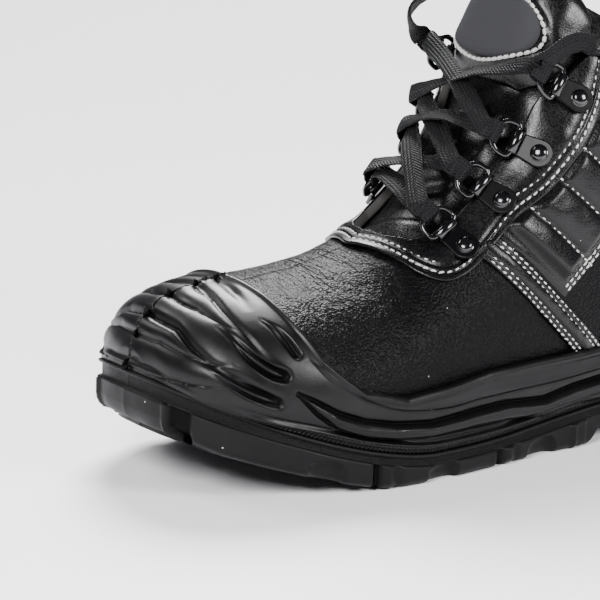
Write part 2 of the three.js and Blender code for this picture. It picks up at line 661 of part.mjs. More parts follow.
function makeTongue() {
  const strips = [];
  for (let row = tongueStart; row <= tongueEnd; row += (tongueEnd - tongueStart) / 12) {
    const open = throatHalfAt(row);
    const room = columnAt(upperSections, "inner", row) * ballWidth - underWall - 2 * tongueThickness;
    const half = Math.min(Math.max(open, throatInner / 2) + throatOuter - throatInner + tongueUnder, room);
    const inThroat = (share) => smoothstep(open - 1.5 - Math.abs(share) * half, 0, 6);
    const free = smoothstep(row, padStart - 1.2, padStart - 0.2);
    const bulge = smoothstep(row, tongueStart + 1, tongueStart + 2) * (underWall + 0.5 - 4.6 * free);
    const outerGrow = (share) => -underWall + inThroat(share) * bulge;
    strips.push(frontStrip(row, half, 10, outerGrow, () => -underWall - tongueThickness));
  }
  return solidFromStrips(strips);
}

// Overlay leather between two growths of the form, kept to a side-view region.
const overlay = (inner, outer, region) => formSolid(outer).subtract(formSolid(inner)).intersect(sidePrism(region));

const facingRegion = [...facingEdge, [shoeLength, 3 * bootHeight], [0.9 * shoeLength, 0.8 * bootHeight]];
function makeFacing() {
  const leather = overlay(fit, fit + overlayThickness, facingRegion);
  return mainBody(leather.subtract(throatPrism()).subtract(aboveCollar()));
}

function makeAnklePad() {
  const [bandTop] = offsetLine(bandLine, -bandWidth / 2 - fit);
  const front = facingEdge.filter(([x, z]) => x < bandTop[0] - overlayThickness && z > bandTop[1]);
  const sky = [[0.3 * shoeLength, 2 * bootHeight], [-0.1 * shoeLength, 2 * bootHeight]];
  const leather = overlay(fit, padThickness, [bandTop, ...front, ...sky, ...[...padEdge].reverse()]);
  return mainBody(leather.subtract(throatPrism()).subtract(aboveCollar()).subtract(facingClearance()));
}

// What the facing and its clearance fill, so that its neighbours stop short of it.
const facingClearance = () => sidePrism([...offsetLine(facingEdge, fit), [shoeLength, 3 * bootHeight]]);

function makeBand(side) {
  const region = [...offsetLine(bandLine, bandWidth / 2), ...offsetLine(bandLine, -bandWidth / 2).reverse()];
  const [from, to] = side > 0 ? [0, ballWidth] : [-ballWidth, 0];
  const leather = formSolid(fit + overlayThickness).subtract(formSolid(fit)).intersect(sidePrism(region, from, to));
  const cup = [...cupEdge.map(([x, z]) => [x, z + fit]), [shoeLength, -bootHeight], [-shoeLength, -bootHeight]];
  return mainBody(leather.subtract(facingClearance()).subtract(sidePrism(cup)));
}

// Padded top of the tongue, in front of the tongue itself.
const padOuter = (share) => tonguePadThickness * Math.sqrt(Math.max(0, 1 - share ** 4)) + fit - 3.5;
function makeTonguePad() {
  const strips = [];
  const steps = 8;
  for (let i = 0; i <= steps; i += 1) {
    const along = (2 * i) / steps - 1;
    const row = lerp(padStart, padEnd, i / steps);
    const half = (tonguePadWidth / 2) * (1 - 0.35 * along ** 4);
    const crown = Math.sqrt(Math.max(0.02, 1 - along ** 6));
    const outerGrow = (share) => fit - 3 + crown * (padOuter(share) - fit + 3);
    strips.push(frontStrip(row, half, 8, outerGrow, () => fit - 3.3));
  }
  return solidFromStrips(strips);
}

function makeTonguePatch() {
  const strips = [];
  const steps = 8;
  const middle = lerp(padStart, padEnd, 0.5);
  for (let i = 0; i <= steps; i += 1) {
    const along = 0.985 * ((2 * i) / steps - 1);
    const row = middle + along * 0.5 * (padEnd - padStart) * (patchHeight / tonguePadHeight);
    const half = (patchWidth / 2) * Math.sqrt(1 - along ** 2);
    const innerGrow = (share) => padOuter((share * half * 2) / tonguePadWidth) + 3 * fit;
    const outerGrow = (share) => innerGrow(share) + patchThickness;
    strips.push(frontStrip(row, half, 6, outerGrow, innerGrow));
  }
  return solidFromStrips(strips);
}

// Frame of a ring's clip: origin half way along it, x towards the throat, y along the facing,
// z away from the leather.
function clipFrame(index, side) {
  const { outerY, innerY, lean } = lacing[index];
  const row = lacingRow(index, side);
  const grow = 2 * fit + overlayThickness;
  const rivetAngle = angleAtWidth(row, side, (side > 0 ? outerY : innerY) * ballWidth, grow);
  const rivet = formPoint(row, rivetAngle, grow);
  let angle = rivetAngle;
  while (formPoint(row, angle, grow).distanceTo(rivet) < clipLength / 2) angle += side * 0.005;
  const { point, outward, climb } = formFrame(row, angle, grow);
  const inwards = new THREE.Vector3().crossVectors(outward, climb).normalize().multiplyScalar(side);
  inwards.applyAxisAngle(outward, side * THREE.MathUtils.degToRad(lean));
  const along = new THREE.Vector3().crossVectors(outward, inwards).normalize();
  const placed = point.addScaledVector(outward, fit);
  return new THREE.Matrix4().makeBasis(inwards, along, outward).setPosition(placed);
}

const extruded = (shape, depth) =>
  new THREE.ExtrudeGeometry(shape, { depth, bevelEnabled: false, curveSegments: 3 });

// Folded clip in its own frame: plate with one round end, barrel round the ring's bar, and rivet.
function makeClip() {
  const reach = clipLength / 2;
  const half = clipWidth / 2;
  const outline = new THREE.Shape();
  outline.moveTo(reach, -half);
  outline.lineTo(reach, half);
  outline.lineTo(-reach, half);
  outline.absarc(-reach, 0, half, Math.PI / 2, 1.5 * Math.PI, false);
  const barrelRadius = ringWire / 2 + fit + clipThickness / 2;
  const barrel = new THREE.CylinderGeometry(barrelRadius, barrelRadius, clipWidth, 8);
  const hole = new THREE.CylinderGeometry(ringWire / 2 + fit, ringWire / 2 + fit, 2 * clipWidth, 6);
  const head = new THREE.LatheGeometry(
    [[0, 0], [1, 0], [0.75, 0.75], [0, 1]].map(
      ([r, h]) => new THREE.Vector2((r * rivetHead) / 2, h * (rivetHeight + clipThickness)),
    ),
    8,
  );
  const bar = [reach, 0, ringWire / 2 + fit + clipThickness / 2];
  return solidOf(extruded(outline, clipThickness))
    .add(solidOf(barrel.translate(...bar)))
    .add(solidOf(head.rotateX(Math.PI / 2).translate(-reach, 0, 0)))
    .subtract(solidOf(hole.translate(...bar)));
}

// D-ring in its own frame: bar along y at x = 0, bow towards +x.
function ringPath() {
  const half = ringBar / 2;
  const corner = ringReach * 0.45;
  const points = [[0, -half], [0, 0], [0, half]];
  for (let i = 0; i <= 6; i += 1) {
    const turn = Math.PI / 2 - (i / 6) * Math.PI;
    points.push([corner + (ringReach - corner) * Math.cos(turn), half * Math.sin(turn)]);
  }
  return points.map(([x, y]) => new THREE.Vector3(x, y, 0));
}

// Closed or open tube of a flat or round section, swept through points as mitred rings.
function sweep(points, section, normalAt, closed) {
  const count = points.length;
  const rings = points.map((point, i) => {
    const before = points[closed ? (i + count - 1) % count : Math.max(0, i - 1)];
    const after = points[closed ? (i + 1) % count : Math.min(count - 1, i + 1)];
    const way = after.clone().sub(before).normalize();
    const across = new THREE.Vector3().crossVectors(normalAt(i), way).normalize();
    const out = new THREE.Vector3().crossVectors(way, across);
    return section.map(([a, b]) => point.clone().addScaledVector(across, a).addScaledVector(out, b));
  });
  if (!closed) return solidFromRings(rings);
  const width = section.length;
  const faces = [];
  for (let r = 0; r < count; r += 1)
    for (let i = 0; i < width; i += 1) {
      const [a, b] = [r * width + i, r * width + ((i + 1) % width)];
      const [c, d] = [((r + 1) % count) * width + ((i + 1) % width), ((r + 1) % count) * width + i];
      faces.push(a, b, c, a, c, d);
    }
  return solidFromTriangles(rings.flat().flatMap((p) => [p.x, p.y, p.z]), faces);
}

const roundSection = (radius, sides) =>
  Array.from({ length: sides }, (_, i) => [
    radius * Math.cos((2 * Math.PI * i) / sides),
    radius * Math.sin((2 * Math.PI * i) / sides),
  ]);
const flatSection = (width, thick) => [
  [-width / 2, -thick / 2],
  [width / 2, -thick / 2],
  [width / 2, thick / 2],
  [-width / 2, thick / 2],
];

function ringFrame(index, side) {
  const barHeight = ringWire / 2 + fit + clipThickness / 2;
  const tilt = THREE.MathUtils.degToRad(lacing[index].tilt);
  const local = new THREE.Matrix4().makeTranslation(clipLength / 2, 0, barHeight);
  return clipFrame(index, side).multiply(local).multiply(new THREE.Matrix4().makeRotationY(-tilt));
}
const makeRing = () => sweep(ringPath(), roundSection(ringWire / 2, 6), () => new THREE.Vector3(0, 0, 1), true);

// Place where a lace comes away from a ring's bow.
const laceClearance = ringWire / 2 + fit + 0.34 * laceWidth;
const lacePoint = (index, side) =>
  new THREE.Vector3(ringReach + laceClearance, 0, 0).applyMatrix4(ringFrame(index, side));

// Flat strip of lace between two ring places, arched clear of the tongue.
function laceStrip(from, to, lift) {
  const [start, end] = [lacePoint(...from), lacePoint(...to)];
  const points = [];
  const normals = [];
  const steps = 4;
  for (let i = 0; i <= steps; i += 1) {
    const share = i / steps;
    const point = start.clone().lerp(end, share);
    const row = lerp(lacingRow(...from), lacingRow(...to), share);
    const angle = point.y === 0 ? Math.PI : angleAtWidth(row, Math.sign(point.y), Math.abs(point.y), 0);
    const { outward } = formFrame(row, angle, 0);
    points.push(point.addScaledVector(outward, lift * Math.sin(Math.PI * share)));
    normals.push(outward);
  }
  return sweep(points, flatSection(laceWidth, laceThickness), (i) => normals[i], false);
}

function makeLaceCrossings() {
  const strips = [laceStrip([0, 1], [0, -1], laceLift)];
  for (let i = 0; i + 1 < lacing.length; i += 1)
    for (const side of [1, -1]) strips.push(laceStrip([i, side], [i + 1, -side], laceLift));
  return join(strips);
}

// Ends of the lace beyond the top rings, from the place where the lace leaves the ring: along the
// boot, outwards and up, in shares of the length, the ball width and the rising height. The outer
// end goes up to the collar and the inner end loops up beside the padded top of the tongue.
const outerEnd = [
  { along: -0.0014, outwards: 0.0235, up: 0.0022 },
  { along: -0.0171, outwards: 0.0326, up: 0.0116 },
  { along: -0.0384, outwards: 0.0271, up: 0.0303 },
  { along: -0.063, outwards: 0.0017, up: 0.059 },
  { along: -0.086, outwards: -0.0293, up: 0.0821 },
];
const innerEnd = [
  { along: -0.0012, outwards: -0.0236, up: 0.0003 },
  { along: 0.0083, outwards: -0.0481, up: 0.0126 },
  { along: 0.007, outwards: -0.0554, up: 0.0471 },
  { along: -0.0081, outwards: -0.039, up: 0.0874 },
  { along: -0.0343, outwards: -0.0172, up: 0.1176 },
  { along: -0.0638, outwards: -0.0027, up: 0.1305 },
  { along: -0.0884, outwards: 0.0083, up: 0.1277 },
];
const ovalSection = (width, thick) => roundSection(1, 8).map(([a, b]) => [(a * width) / 2, (b * thick) / 2]);
function makeLaceEnd(table, side, face) {
  const start = lacePoint(lacing.length - 1, side);
  const points = table.map(({ along, outwards, up }) =>
    new THREE.Vector3(along * shoeLength, outwards * ballWidth, up * risingHeight).add(start));
  const path = new THREE.CatmullRomCurve3(points).getPoints(2 * points.length - 2);
  return sweep(path, ovalSection(laceWidth, laceThickness), () => face, false);
}

const boot = new THREE.Group();
function part(name, solid, material, matrix) {
  const mesh = new THREE.Mesh(geometryOf(solid), material);
  mesh.name = name;
  if (matrix) mesh.geometry.applyMatrix4(matrix);
  boot.add(mesh);
}

const rubber = new THREE.MeshStandardMaterial({ color: 0x1d1d1f, roughness: 0.62 });
const moulded = new THREE.MeshStandardMaterial({ color: 0x232325, roughness: 0.5 });
const grainLeather = new THREE.MeshStandardMaterial({ color: 0x16161a, roughness: 0.42 });
const smoothLeather = new THREE.MeshStandardMaterial({ color: 0x141416, roughness: 0.3 });
const lining = new THREE.MeshStandardMaterial({ color: 0x5b5354, roughness: 0.95 });
const lace = new THREE.MeshStandardMaterial({ color: 0x101011, roughness: 0.85 });
const blackMetal = new THREE.MeshStandardMaterial({ color: 0x0c0c0e, roughness: 0.18, metalness: 0.7 });
const patchFoil = new THREE.MeshStandardMaterial({ color: 0x47474a, roughness: 0.55 });

part("outsole", makeOutsole(), rubber);
part("midsole", makeMidsole(), moulded);
part("upper", makeUpper(), grainLeather);
part("insole", makeInsole(), lining);
part("tongue", makeTongue(), smoothLeather);
part("facing", makeFacing(), smoothLeather);
part("ankle_pad", makeAnklePad(), smoothLeather);
part("band_outer", makeBand(1), smoothLeather);
part("band_inner", makeBand(-1), smoothLeather);
part("tongue_pad", makeTonguePad(), smoothLeather);
part("tongue_patch", makeTonguePatch(), patchFoil);
part("lace_crossings", makeLaceCrossings(), lace);
for (const [label, side] of [["outer", 1], ["inner", -1]])
  for (let i = 0; i < lacing.length; i += 1) {
    part(`clip_${label}_${i + 1}`, makeClip(), blackMetal, clipFrame(i, side));
    part(`ring_${label}_${i + 1}`, makeRing(), blackMetal, ringFrame(i, side));
  }

// Origin at the middle of the floor under the boot, with the loose lace ends left out.
const box = new THREE.Box3().setFromObject(boot);
part("lace_end_outer", makeLaceEnd(outerEnd, 1, new THREE.Vector3(0.55, 0.55, 0.6)), lace);
part("lace_end_inner", makeLaceEnd(innerEnd, -1, new THREE.Vector3(0.75, 0.1, 0.65)), lace);
const centre = box.getCenter(new THREE.Vector3());
for (const mesh of boot.children) mesh.geometry.translate(-centre.x, -centre.y, -box.min.z);

export default boot;
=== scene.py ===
# Left ankle-high safety boot with a ribbed moulded toe guard, quilted ankle panels and flat laces.
import math
import bpy
import bmesh
import numpy as np
from mathutils import Matrix, Vector, kdtree
from mathutils.bvhtree import BVHTree


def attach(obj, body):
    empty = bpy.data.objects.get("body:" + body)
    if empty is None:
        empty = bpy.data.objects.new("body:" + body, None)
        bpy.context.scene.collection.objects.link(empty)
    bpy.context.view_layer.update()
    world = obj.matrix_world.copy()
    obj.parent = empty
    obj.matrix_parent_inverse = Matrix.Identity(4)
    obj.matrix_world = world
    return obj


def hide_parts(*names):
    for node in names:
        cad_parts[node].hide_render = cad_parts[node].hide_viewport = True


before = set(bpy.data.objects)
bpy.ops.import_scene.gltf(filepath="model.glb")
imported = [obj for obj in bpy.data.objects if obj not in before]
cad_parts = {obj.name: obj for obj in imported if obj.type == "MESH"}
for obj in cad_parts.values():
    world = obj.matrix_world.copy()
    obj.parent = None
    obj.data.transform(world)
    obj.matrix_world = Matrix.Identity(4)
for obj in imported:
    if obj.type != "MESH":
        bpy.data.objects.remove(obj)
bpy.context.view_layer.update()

mm = 0.001

# Driving sizes, in millimetres from the heel back, the same as those of the solids
boot = {
    "length": 305.0,
    "ballWidth": 110.0,
    "height": 156.0,
    "footbed": 17.0,
    "toeSpring": 23.0,
    "wall": 2.8,
    "overlay": 1.5,
    "fit": 0.3,
    "originX": 152.5,
    "originY": 0.775,
}
rising = boot["height"] - boot["footbed"]

# Sections of the last from toe tip to above the collar: bottom and top point of each plane in
# shares of the length and of the rising height, half widths as shares of the ball width, the
# place of the widest point, and the roundness below and above it
sectionColumns = ["bottomX", "bottomZ", "topX", "topZ", "outer", "inner", "widest", "lowRound", "highRound"]
sections = [
    (0.979, 0.151, 0.979, 0.23, 0.085, 0.09, 0.5, 1.0, 1.0),
    (0.974, 0.119, 0.972, 0.281, 0.19, 0.172, 0.45, 0.85, 1.06),
    (0.962, 0.101, 0.957, 0.324, 0.28, 0.268, 0.41, 0.75, 1.06),
    (0.938, 0.079, 0.93, 0.36, 0.358, 0.345, 0.38, 0.7, 1.04),
    (0.892, 0.047, 0.884, 0.381, 0.423, 0.41, 0.35, 0.68, 0.98),
    (0.826, 0.022, 0.82, 0.394, 0.462, 0.45, 0.33, 0.66, 1.0),
    (0.748, 0.003, 0.748, 0.421, 0.477, 0.456, 0.32, 0.66, 1.1),
    (0.672, 0.0, 0.68, 0.457, 0.467, 0.415, 0.31, 0.66, 1.05),
    (0.59, 0.006, 0.61, 0.529, 0.44, 0.375, 0.3, 0.66, 0.87),
    (0.498, 0.022, 0.549, 0.644, 0.42, 0.355, 0.3, 0.66, 0.74),
    (0.387, 0.043, 0.503, 0.77, 0.41, 0.365, 0.32, 0.68, 0.64),
    (0.246, 0.072, 0.48, 0.906, 0.405, 0.385, 0.38, 0.7, 0.62),
    (0.095, 0.108, 0.459, 0.996, 0.397, 0.385, 0.44, 0.76, 0.64),
    (0.03, 0.266, 0.443, 1.072, 0.387, 0.38, 0.48, 0.8, 0.7),
    (0.026, 0.525, 0.428, 1.137, 0.385, 0.38, 0.5, 0.84, 0.78),
    (0.044, 0.799, 0.416, 1.201, 0.393, 0.388, 0.5, 0.88, 0.82),
    (0.048, 1.029, 0.407, 1.281, 0.4, 0.395, 0.5, 0.9, 0.84),
    (0.046, 1.209, 0.397, 1.374, 0.405, 0.4, 0.5, 0.9, 0.84),
]
sectionTable = {name: np.array([row[i] for row in sections]) for i, name in enumerate(sectionColumns)}

# Sole outline from toe tip to heel back: x as a share of the length, y as shares of the ball width
outlineTable = {
    "x": np.array([1.0, 0.993, 0.967, 0.915, 0.84, 0.75, 0.66, 0.56, 0.46, 0.36, 0.25, 0.15, 0.065, 0.018, 0.0]),
    "outer": np.array([0, 0.15, 0.285, 0.395, 0.468, 0.5, 0.497, 0.458, 0.41, 0.38, 0.365, 0.354, 0.292, 0.17, 0]),
    "inner": np.array([0, 0.175, 0.315, 0.415, 0.468, 0.488, 0.462, 0.4, 0.34, 0.322, 0.338, 0.344, 0.29, 0.17, 0]),
}


def smoothStep(value, low, high):
    t = np.clip((np.asarray(value, float) - low) / (high - low), 0, 1)
    return t * t * (3 - 2 * t)


def columnAt(column, row):
    # smooth curve through one column of a table, at fractional rows
    row = np.asarray(row, float)
    last = len(column) - 1
    i = np.clip(np.floor(row).astype(int), 0, last - 1)
    t = row - i
    padded = np.concatenate([[2 * column[0] - column[1]], column, [2 * column[-1] - column[-2]]])
    a, b, c, d = padded[i], padded[i + 1], padded[i + 2], padded[i + 3]
    return b + 0.5 * t * (c - a + t * (2 * a - 5 * b + 4 * c - d + t * (3 * (b - c) + d - a)))


def formPoint(row, angle, grow=0.0):
    # the last's own surface in millimetres, grown outwards; angle 0 is the bottom, pi the top
    row, angle, grow = np.broadcast_arrays(np.asarray(row, float), np.asarray(angle, float), np.asarray(grow, float))
    at = {name: columnAt(column, row) for name, column in sectionTable.items()}
    bottom = np.stack([at["bottomX"] * boot["length"], boot["footbed"] + at["bottomZ"] * rising], -1)
    top = np.stack([at["topX"] * boot["length"], boot["footbed"] + at["topZ"] * rising], -1)
    along = (top - bottom) / np.linalg.norm(top - bottom, axis=-1, keepdims=True)
    bottom = bottom - along * grow[..., None]
    top = top + along * grow[..., None]
    up = -np.cos(angle)
    side = np.sin(angle)
    power = np.where(up < 0, at["lowRound"], at["highRound"])
    share = at["widest"] + np.where(up < 0, -at["widest"], 1 - at["widest"]) * np.abs(up) ** power
    half = np.where(side > 0, at["outer"], at["inner"]) * boot["ballWidth"] + grow
    inPlane = bottom + (top - bottom) * share[..., None]
    forward = grow * smoothStep(4 - row, 0, 4)
    return np.stack([inPlane[..., 0] + forward, np.sign(side) * half * np.abs(side) ** power, inPlane[..., 1]], -1)


def formNormal(row, angle, grow=0.0):
    step = 0.01
    climb = formPoint(row + step, angle, grow) - formPoint(row - step, angle, grow)
    around = formPoint(row, angle + step, grow) - formPoint(row, angle - step, grow)
    normal = np.cross(climb, around)
    return normal / np.maximum(np.linalg.norm(normal, axis=-1, keepdims=True), 1e-9)


def outlinePoint(share, side, inset=0.0):
    # sole outline in plan, share 0 at the toe tip and 1 at the heel back, set in by a distance
    def at(t):
        row = np.clip(t, 0, 1) * (len(outlineTable["x"]) - 1)
        width = columnAt(outlineTable["outer" if side > 0 else "inner"], row) * boot["ballWidth"]
        return np.stack([columnAt(outlineTable["x"], row) * boot["length"], side * width], -1)
    share = np.asarray(share, float)
    small = 0.004
    way = at(share + small) - at(share - small)
    way /= np.linalg.norm(way, axis=-1, keepdims=True)
    normal = np.stack([-way[..., 1], way[..., 0]], -1) * (1 if side > 0 else -1)
    normal[share <= 0] = (-1, 0)
    normal[share >= 1] = (1, 0)
    return at(share) + normal * np.asarray(inset)[..., None] if np.ndim(inset) else at(share) + normal * inset


def treadHeight(x):
    start = 0.728 * boot["length"]
    spring = boot["toeSpring"] * np.clip((x - start) / (boot["length"] - start), 0, 1) ** 1.2
    bevel = 0.045 * boot["length"]
    return spring + 3 * np.clip((bevel - x) / bevel, 0, 1) ** 1.5


def partingHeight(x):
    toe = 32 * np.clip((x / boot["length"] - 0.66) / 0.34, 0, 1) ** 1.55
    return 11 + toe + 7 * smoothStep(0.6 - x / boot["length"], 0, 0.36)


def splineThrough(points, count):
    # smooth line through a few given points, evenly spaced
    rows = np.array(points, float)
    t = np.linspace(0, len(rows) - 1, 40 * len(rows))
    dense = np.stack([columnAt(rows[:, k], t) for k in range(rows.shape[1])], -1)
    gone = np.concatenate([[0], np.cumsum(np.linalg.norm(np.diff(dense, axis=0), axis=1))])
    want = np.linspace(0, gone[-1], count)
    return np.stack([np.interp(want, gone, dense[:, k]) for k in range(rows.shape[1])], -1)


def sideLine(shares, count):
    # side-view line from shares of the length and of the rising height
    return splineThrough([(x * boot["length"], boot["footbed"] + z * rising) for x, z in shares], count)


# Side view (x, z) or plan (x, y) back to the form's own row and angle
lookRows = np.linspace(0.5, 17, 640)
lookAngles = np.linspace(0.0, math.pi, 180)


def makeFinder(side, axes):
    rows, angles = np.meshgrid(lookRows, side * lookAngles, indexing="ij")
    keep = np.abs(angles) > math.pi / 2 if axes == (0, 1) else np.abs(angles) > -1
    rows, angles = rows[keep], angles[keep]
    spots = formPoint(rows, angles)[:, axes]
    tree = kdtree.KDTree(len(spots))
    for i, (a, b) in enumerate(spots):
        tree.insert((a, b, 0), i)
    tree.balance()
    return rows, angles, tree, axes


finders = {}


def findOnForm(points, side, axes=(0, 2), grow=0.0):
    if (side, axes) not in finders:
        finders[side, axes] = makeFinder(side, axes)
    rows, angles, tree, axes = finders[side, axes]
    hits = [tree.find((p[0], p[1], 0))[1] for p in points]
    row, angle = rows[hits].copy(), angles[hits].copy()
    target = np.asarray(points, float)
    for _ in range(3):
        here = formPoint(row, angle, grow)[..., axes]
        byRow = (formPoint(row + 0.01, angle, grow)[..., axes] - here) / 0.01
        byAngle = (formPoint(row, angle + 0.01, grow)[..., axes] - here) / 0.01
        det = byRow[:, 0] * byAngle[:, 1] - byRow[:, 1] * byAngle[:, 0]
        det = np.where(np.abs(det) < 40, np.inf, det)
        miss = target - here
        row = np.clip(row + np.clip((miss[:, 0] * byAngle[:, 1] - miss[:, 1] * byAngle[:, 0]) / det, -0.1, 0.1),
            0, 17)
        angle = angle + np.clip((byRow[:, 0] * miss[:, 1] - byRow[:, 1] * miss[:, 0]) / det, -0.1, 0.1)
    return row, angle


def placed(points):
    # heel-back millimetres to the frame's metres
    return (np.asarray(points, float) - (boot["originX"], boot["originY"], 0)) * mm


def sheetPiece(name, points, uv=None, wrap=False, outward=None, materials=(), marks=None, faceMaterial=None):
    # a grid whose vertices are laid on the given rows of points; marks are values for the material
    if wrap:
        points = np.concatenate([points, points[:, :1]], 1)
        marks = {key: np.concatenate([mark, mark[:, :1]], 1) for key, mark in (marks or {}).items()}
    rows, columns = points.shape[:2]
    if uv is None:
        across = np.linalg.norm(np.diff(points, axis=1), axis=2).cumsum(1)
        down = np.linalg.norm(np.diff(points, axis=0), axis=2).cumsum(0)
        uv = np.zeros(points.shape[:2] + (2,))
        uv[:, 1:, 0] = across.mean(0)
        uv[1:, :, 1] = down.mean(1)[:, None]
        uv *= mm
    bm = bmesh.new()
    bmesh.ops.create_grid(bm, x_segments=columns - 1, y_segments=rows - 1, size=0.5)
    uvLayer = bm.loops.layers.uv.verify()
    layers = {key: bm.verts.layers.float.new(key) for key in (marks or {})}
    spots = placed(points).tolist()
    flat = np.asarray(uv).tolist()
    cells = [(round((v.co.y + 0.5) * (rows - 1)), round((v.co.x + 0.5) * (columns - 1))) for v in bm.verts]
    for vert, (i, j) in zip(bm.verts, cells):
        vert.co = spots[i][j]
        for key, layer in layers.items():
            vert[layer] = float(marks[key][i, j])
    for face in bm.faces:
        face.smooth = True
        for loop in face.loops:
            i, j = cells[loop.vert.index]
            loop[uvLayer].uv = flat[i][j]
        if faceMaterial is not None:
            i, j = cells[face.verts[0].index]
            face.material_index = int(faceMaterial(i, j))
    bmesh.ops.remove_doubles(bm, verts=bm.verts, dist=2e-6)
    bmesh.ops.dissolve_degenerate(bm, dist=1e-7, edges=bm.edges)
    bm.normal_update()
    turnOut(bm, outward)
    return finishMesh(name, bm, materials)


def turnOut(bm, outward):
    # outward is a function of a point in metres, or None for a closed shape
    if outward is None:
        bmesh.ops.recalc_face_normals(bm, faces=bm.faces)
        return
    score = sum(face.normal.dot(Vector(outward(face.calc_center_median()))) * face.calc_area() for face in bm.faces)
    if score < 0:
        bmesh.ops.reverse_faces(bm, faces=bm.faces)


def finishMesh(name, bm, materials=()):
    mesh = bpy.data.meshes.new(name)
    bm.to_mesh(mesh)
    bm.free()
    piece = bpy.data.objects.new(name, mesh)
    bpy.context.scene.collection.objects.link(piece)
    for material in materials:
        mesh.materials.append(material)
    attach(piece, "root")
    return piece


def thicken(piece, thickness, offset=-1.0, innerMaterial=0, rimMaterial=0):
    wall = piece.modifiers.new("wall", "SOLIDIFY")
    wall.thickness = thickness * mm
    wall.offset = offset
    wall.material_offset = innerMaterial
    wall.material_offset_rim = rimMaterial
    wall.use_even_offset = False
    return wall


def gridNormals(points, wrap=False):
    if wrap:
        across = np.roll(points, -1, 1) - np.roll(points, 1, 1)
    else:
        across = np.gradient(points, axis=1)
    down = np.gradient(points, axis=0)
    normal = np.cross(across, down)
    return normal / np.maximum(np.linalg.norm(normal, axis=-1, keepdims=True), 1e-9)


def nearLine(points, line):
    # distance of each point to a line of points, and how far along the line it is, 0 to 1
    line = np.asarray(line, float)
    flat = points.reshape(-1, points.shape[-1])
    best = np.full(len(flat), 1e9)
    where = np.zeros(len(flat))
    for k in range(len(line) - 1):
        a, b = line[k], line[k + 1]
        way = b - a
        t = np.clip((flat - a) @ way / max(way @ way, 1e-9), 0, 1)
        gap = np.linalg.norm(flat - a - t[:, None] * way, axis=1)
        closer = gap < best
        best[closer] = gap[closer]
        where[closer] = (k + t[closer]) / (len(line) - 1)
    return best.reshape(points.shape[:-1]), where.reshape(points.shape[:-1])


def ridge(gap, width):
    return np.exp(-((gap / width) ** 2))


def waves(points, size, seed, octaves=3):
    # smooth seeded unevenness, about -1 to 1, from a few turned sine waves
    dice = np.random.default_rng(seed)
    total = np.zeros(points.shape[:-1])
    weight = 0
    for octave in range(octaves):
        for _ in range(5):
            way = dice.normal(size=points.shape[-1])
            way /= np.linalg.norm(way)
            total += np.sin(points @ way * (2 * math.pi / (size / 1.7 ** octave)) + dice.uniform(0,
                6.28)) / 1.6 ** octave
        weight += 2.2 / 1.6 ** octave
    return total / weight


print("form ready")


# Camera, as solved on the photo's landmarks
view = {"azimuth": 54.0, "elevation": 12.916, "roll": 2.247, "focal": 3036.4, "centre": (360.93, 294.78)}
around, above, rolled = (math.radians(view[key]) for key in ("azimuth", "elevation", "roll"))
back = Vector((math.cos(around) * math.cos(above), math.sin(around) * math.cos(above), math.sin(above)))
level = Vector((-math.sin(around), math.cos(around), 0))
upright = back.cross(level)
rightWay = level * math.cos(rolled) + upright * math.sin(rolled)
upWay = upright * math.cos(rolled) - level * math.sin(rolled)
lens = bpy.data.cameras.new("camera")
lens.sensor_width = 36
lens.lens = view["focal"] * 36 / 600
lens.shift_x = (300 - view["centre"][0]) / 600
lens.shift_y = (view["centre"][1] - 300) / 600
lens.clip_start = 0.05
camera = bpy.data.objects.new("camera", lens)
bpy.context.scene.collection.objects.link(camera)
turn = Matrix((rightWay, upWay, back)).transposed().to_4x4()
camera.matrix_world = Matrix.Translation((0.7120, 0.9139, 0.3193)) @ turn
bpy.context.scene.camera = camera


# Materials
def linear(hexColour):
    values = [int(hexColour[i:i + 2], 16) / 255 for i in (1, 3, 5)]
    return [v / 12.92 if v <= 0.04045 else ((v + 0.055) / 1.055) ** 2.4 for v in values] + [1]


def addNode(tree, kind, settings=None, links=None):
    node = tree.nodes.new(kind)
    for key, value in (settings or {}).items():
        if isinstance(key, str) and hasattr(node, key):
            setattr(node, key, value)
        else:
            node.inputs[key].default_value = value
    for key, source in (links or {}).items():
        tree.links.new(source, node.inputs[key])
    return node


def newMaterial(name, colour, roughness, ior=1.5, coat=0.0, coatRoughness=0.2, gloss=0.5):
    material = bpy.data.materials.new(name)
    material.use_nodes = True
    tree = material.node_tree
    shader = tree.nodes["Principled BSDF"]
    shader.inputs["Base Color"].default_value = linear(colour)
    shader.inputs["Roughness"].default_value = roughness
    shader.inputs["IOR"].default_value = ior
    shader.inputs["Specular IOR Level"].default_value = gloss
    shader.inputs["Coat Weight"].default_value = coat
    shader.inputs["Coat Roughness"].default_value = coatRoughness
    return material, tree, shader


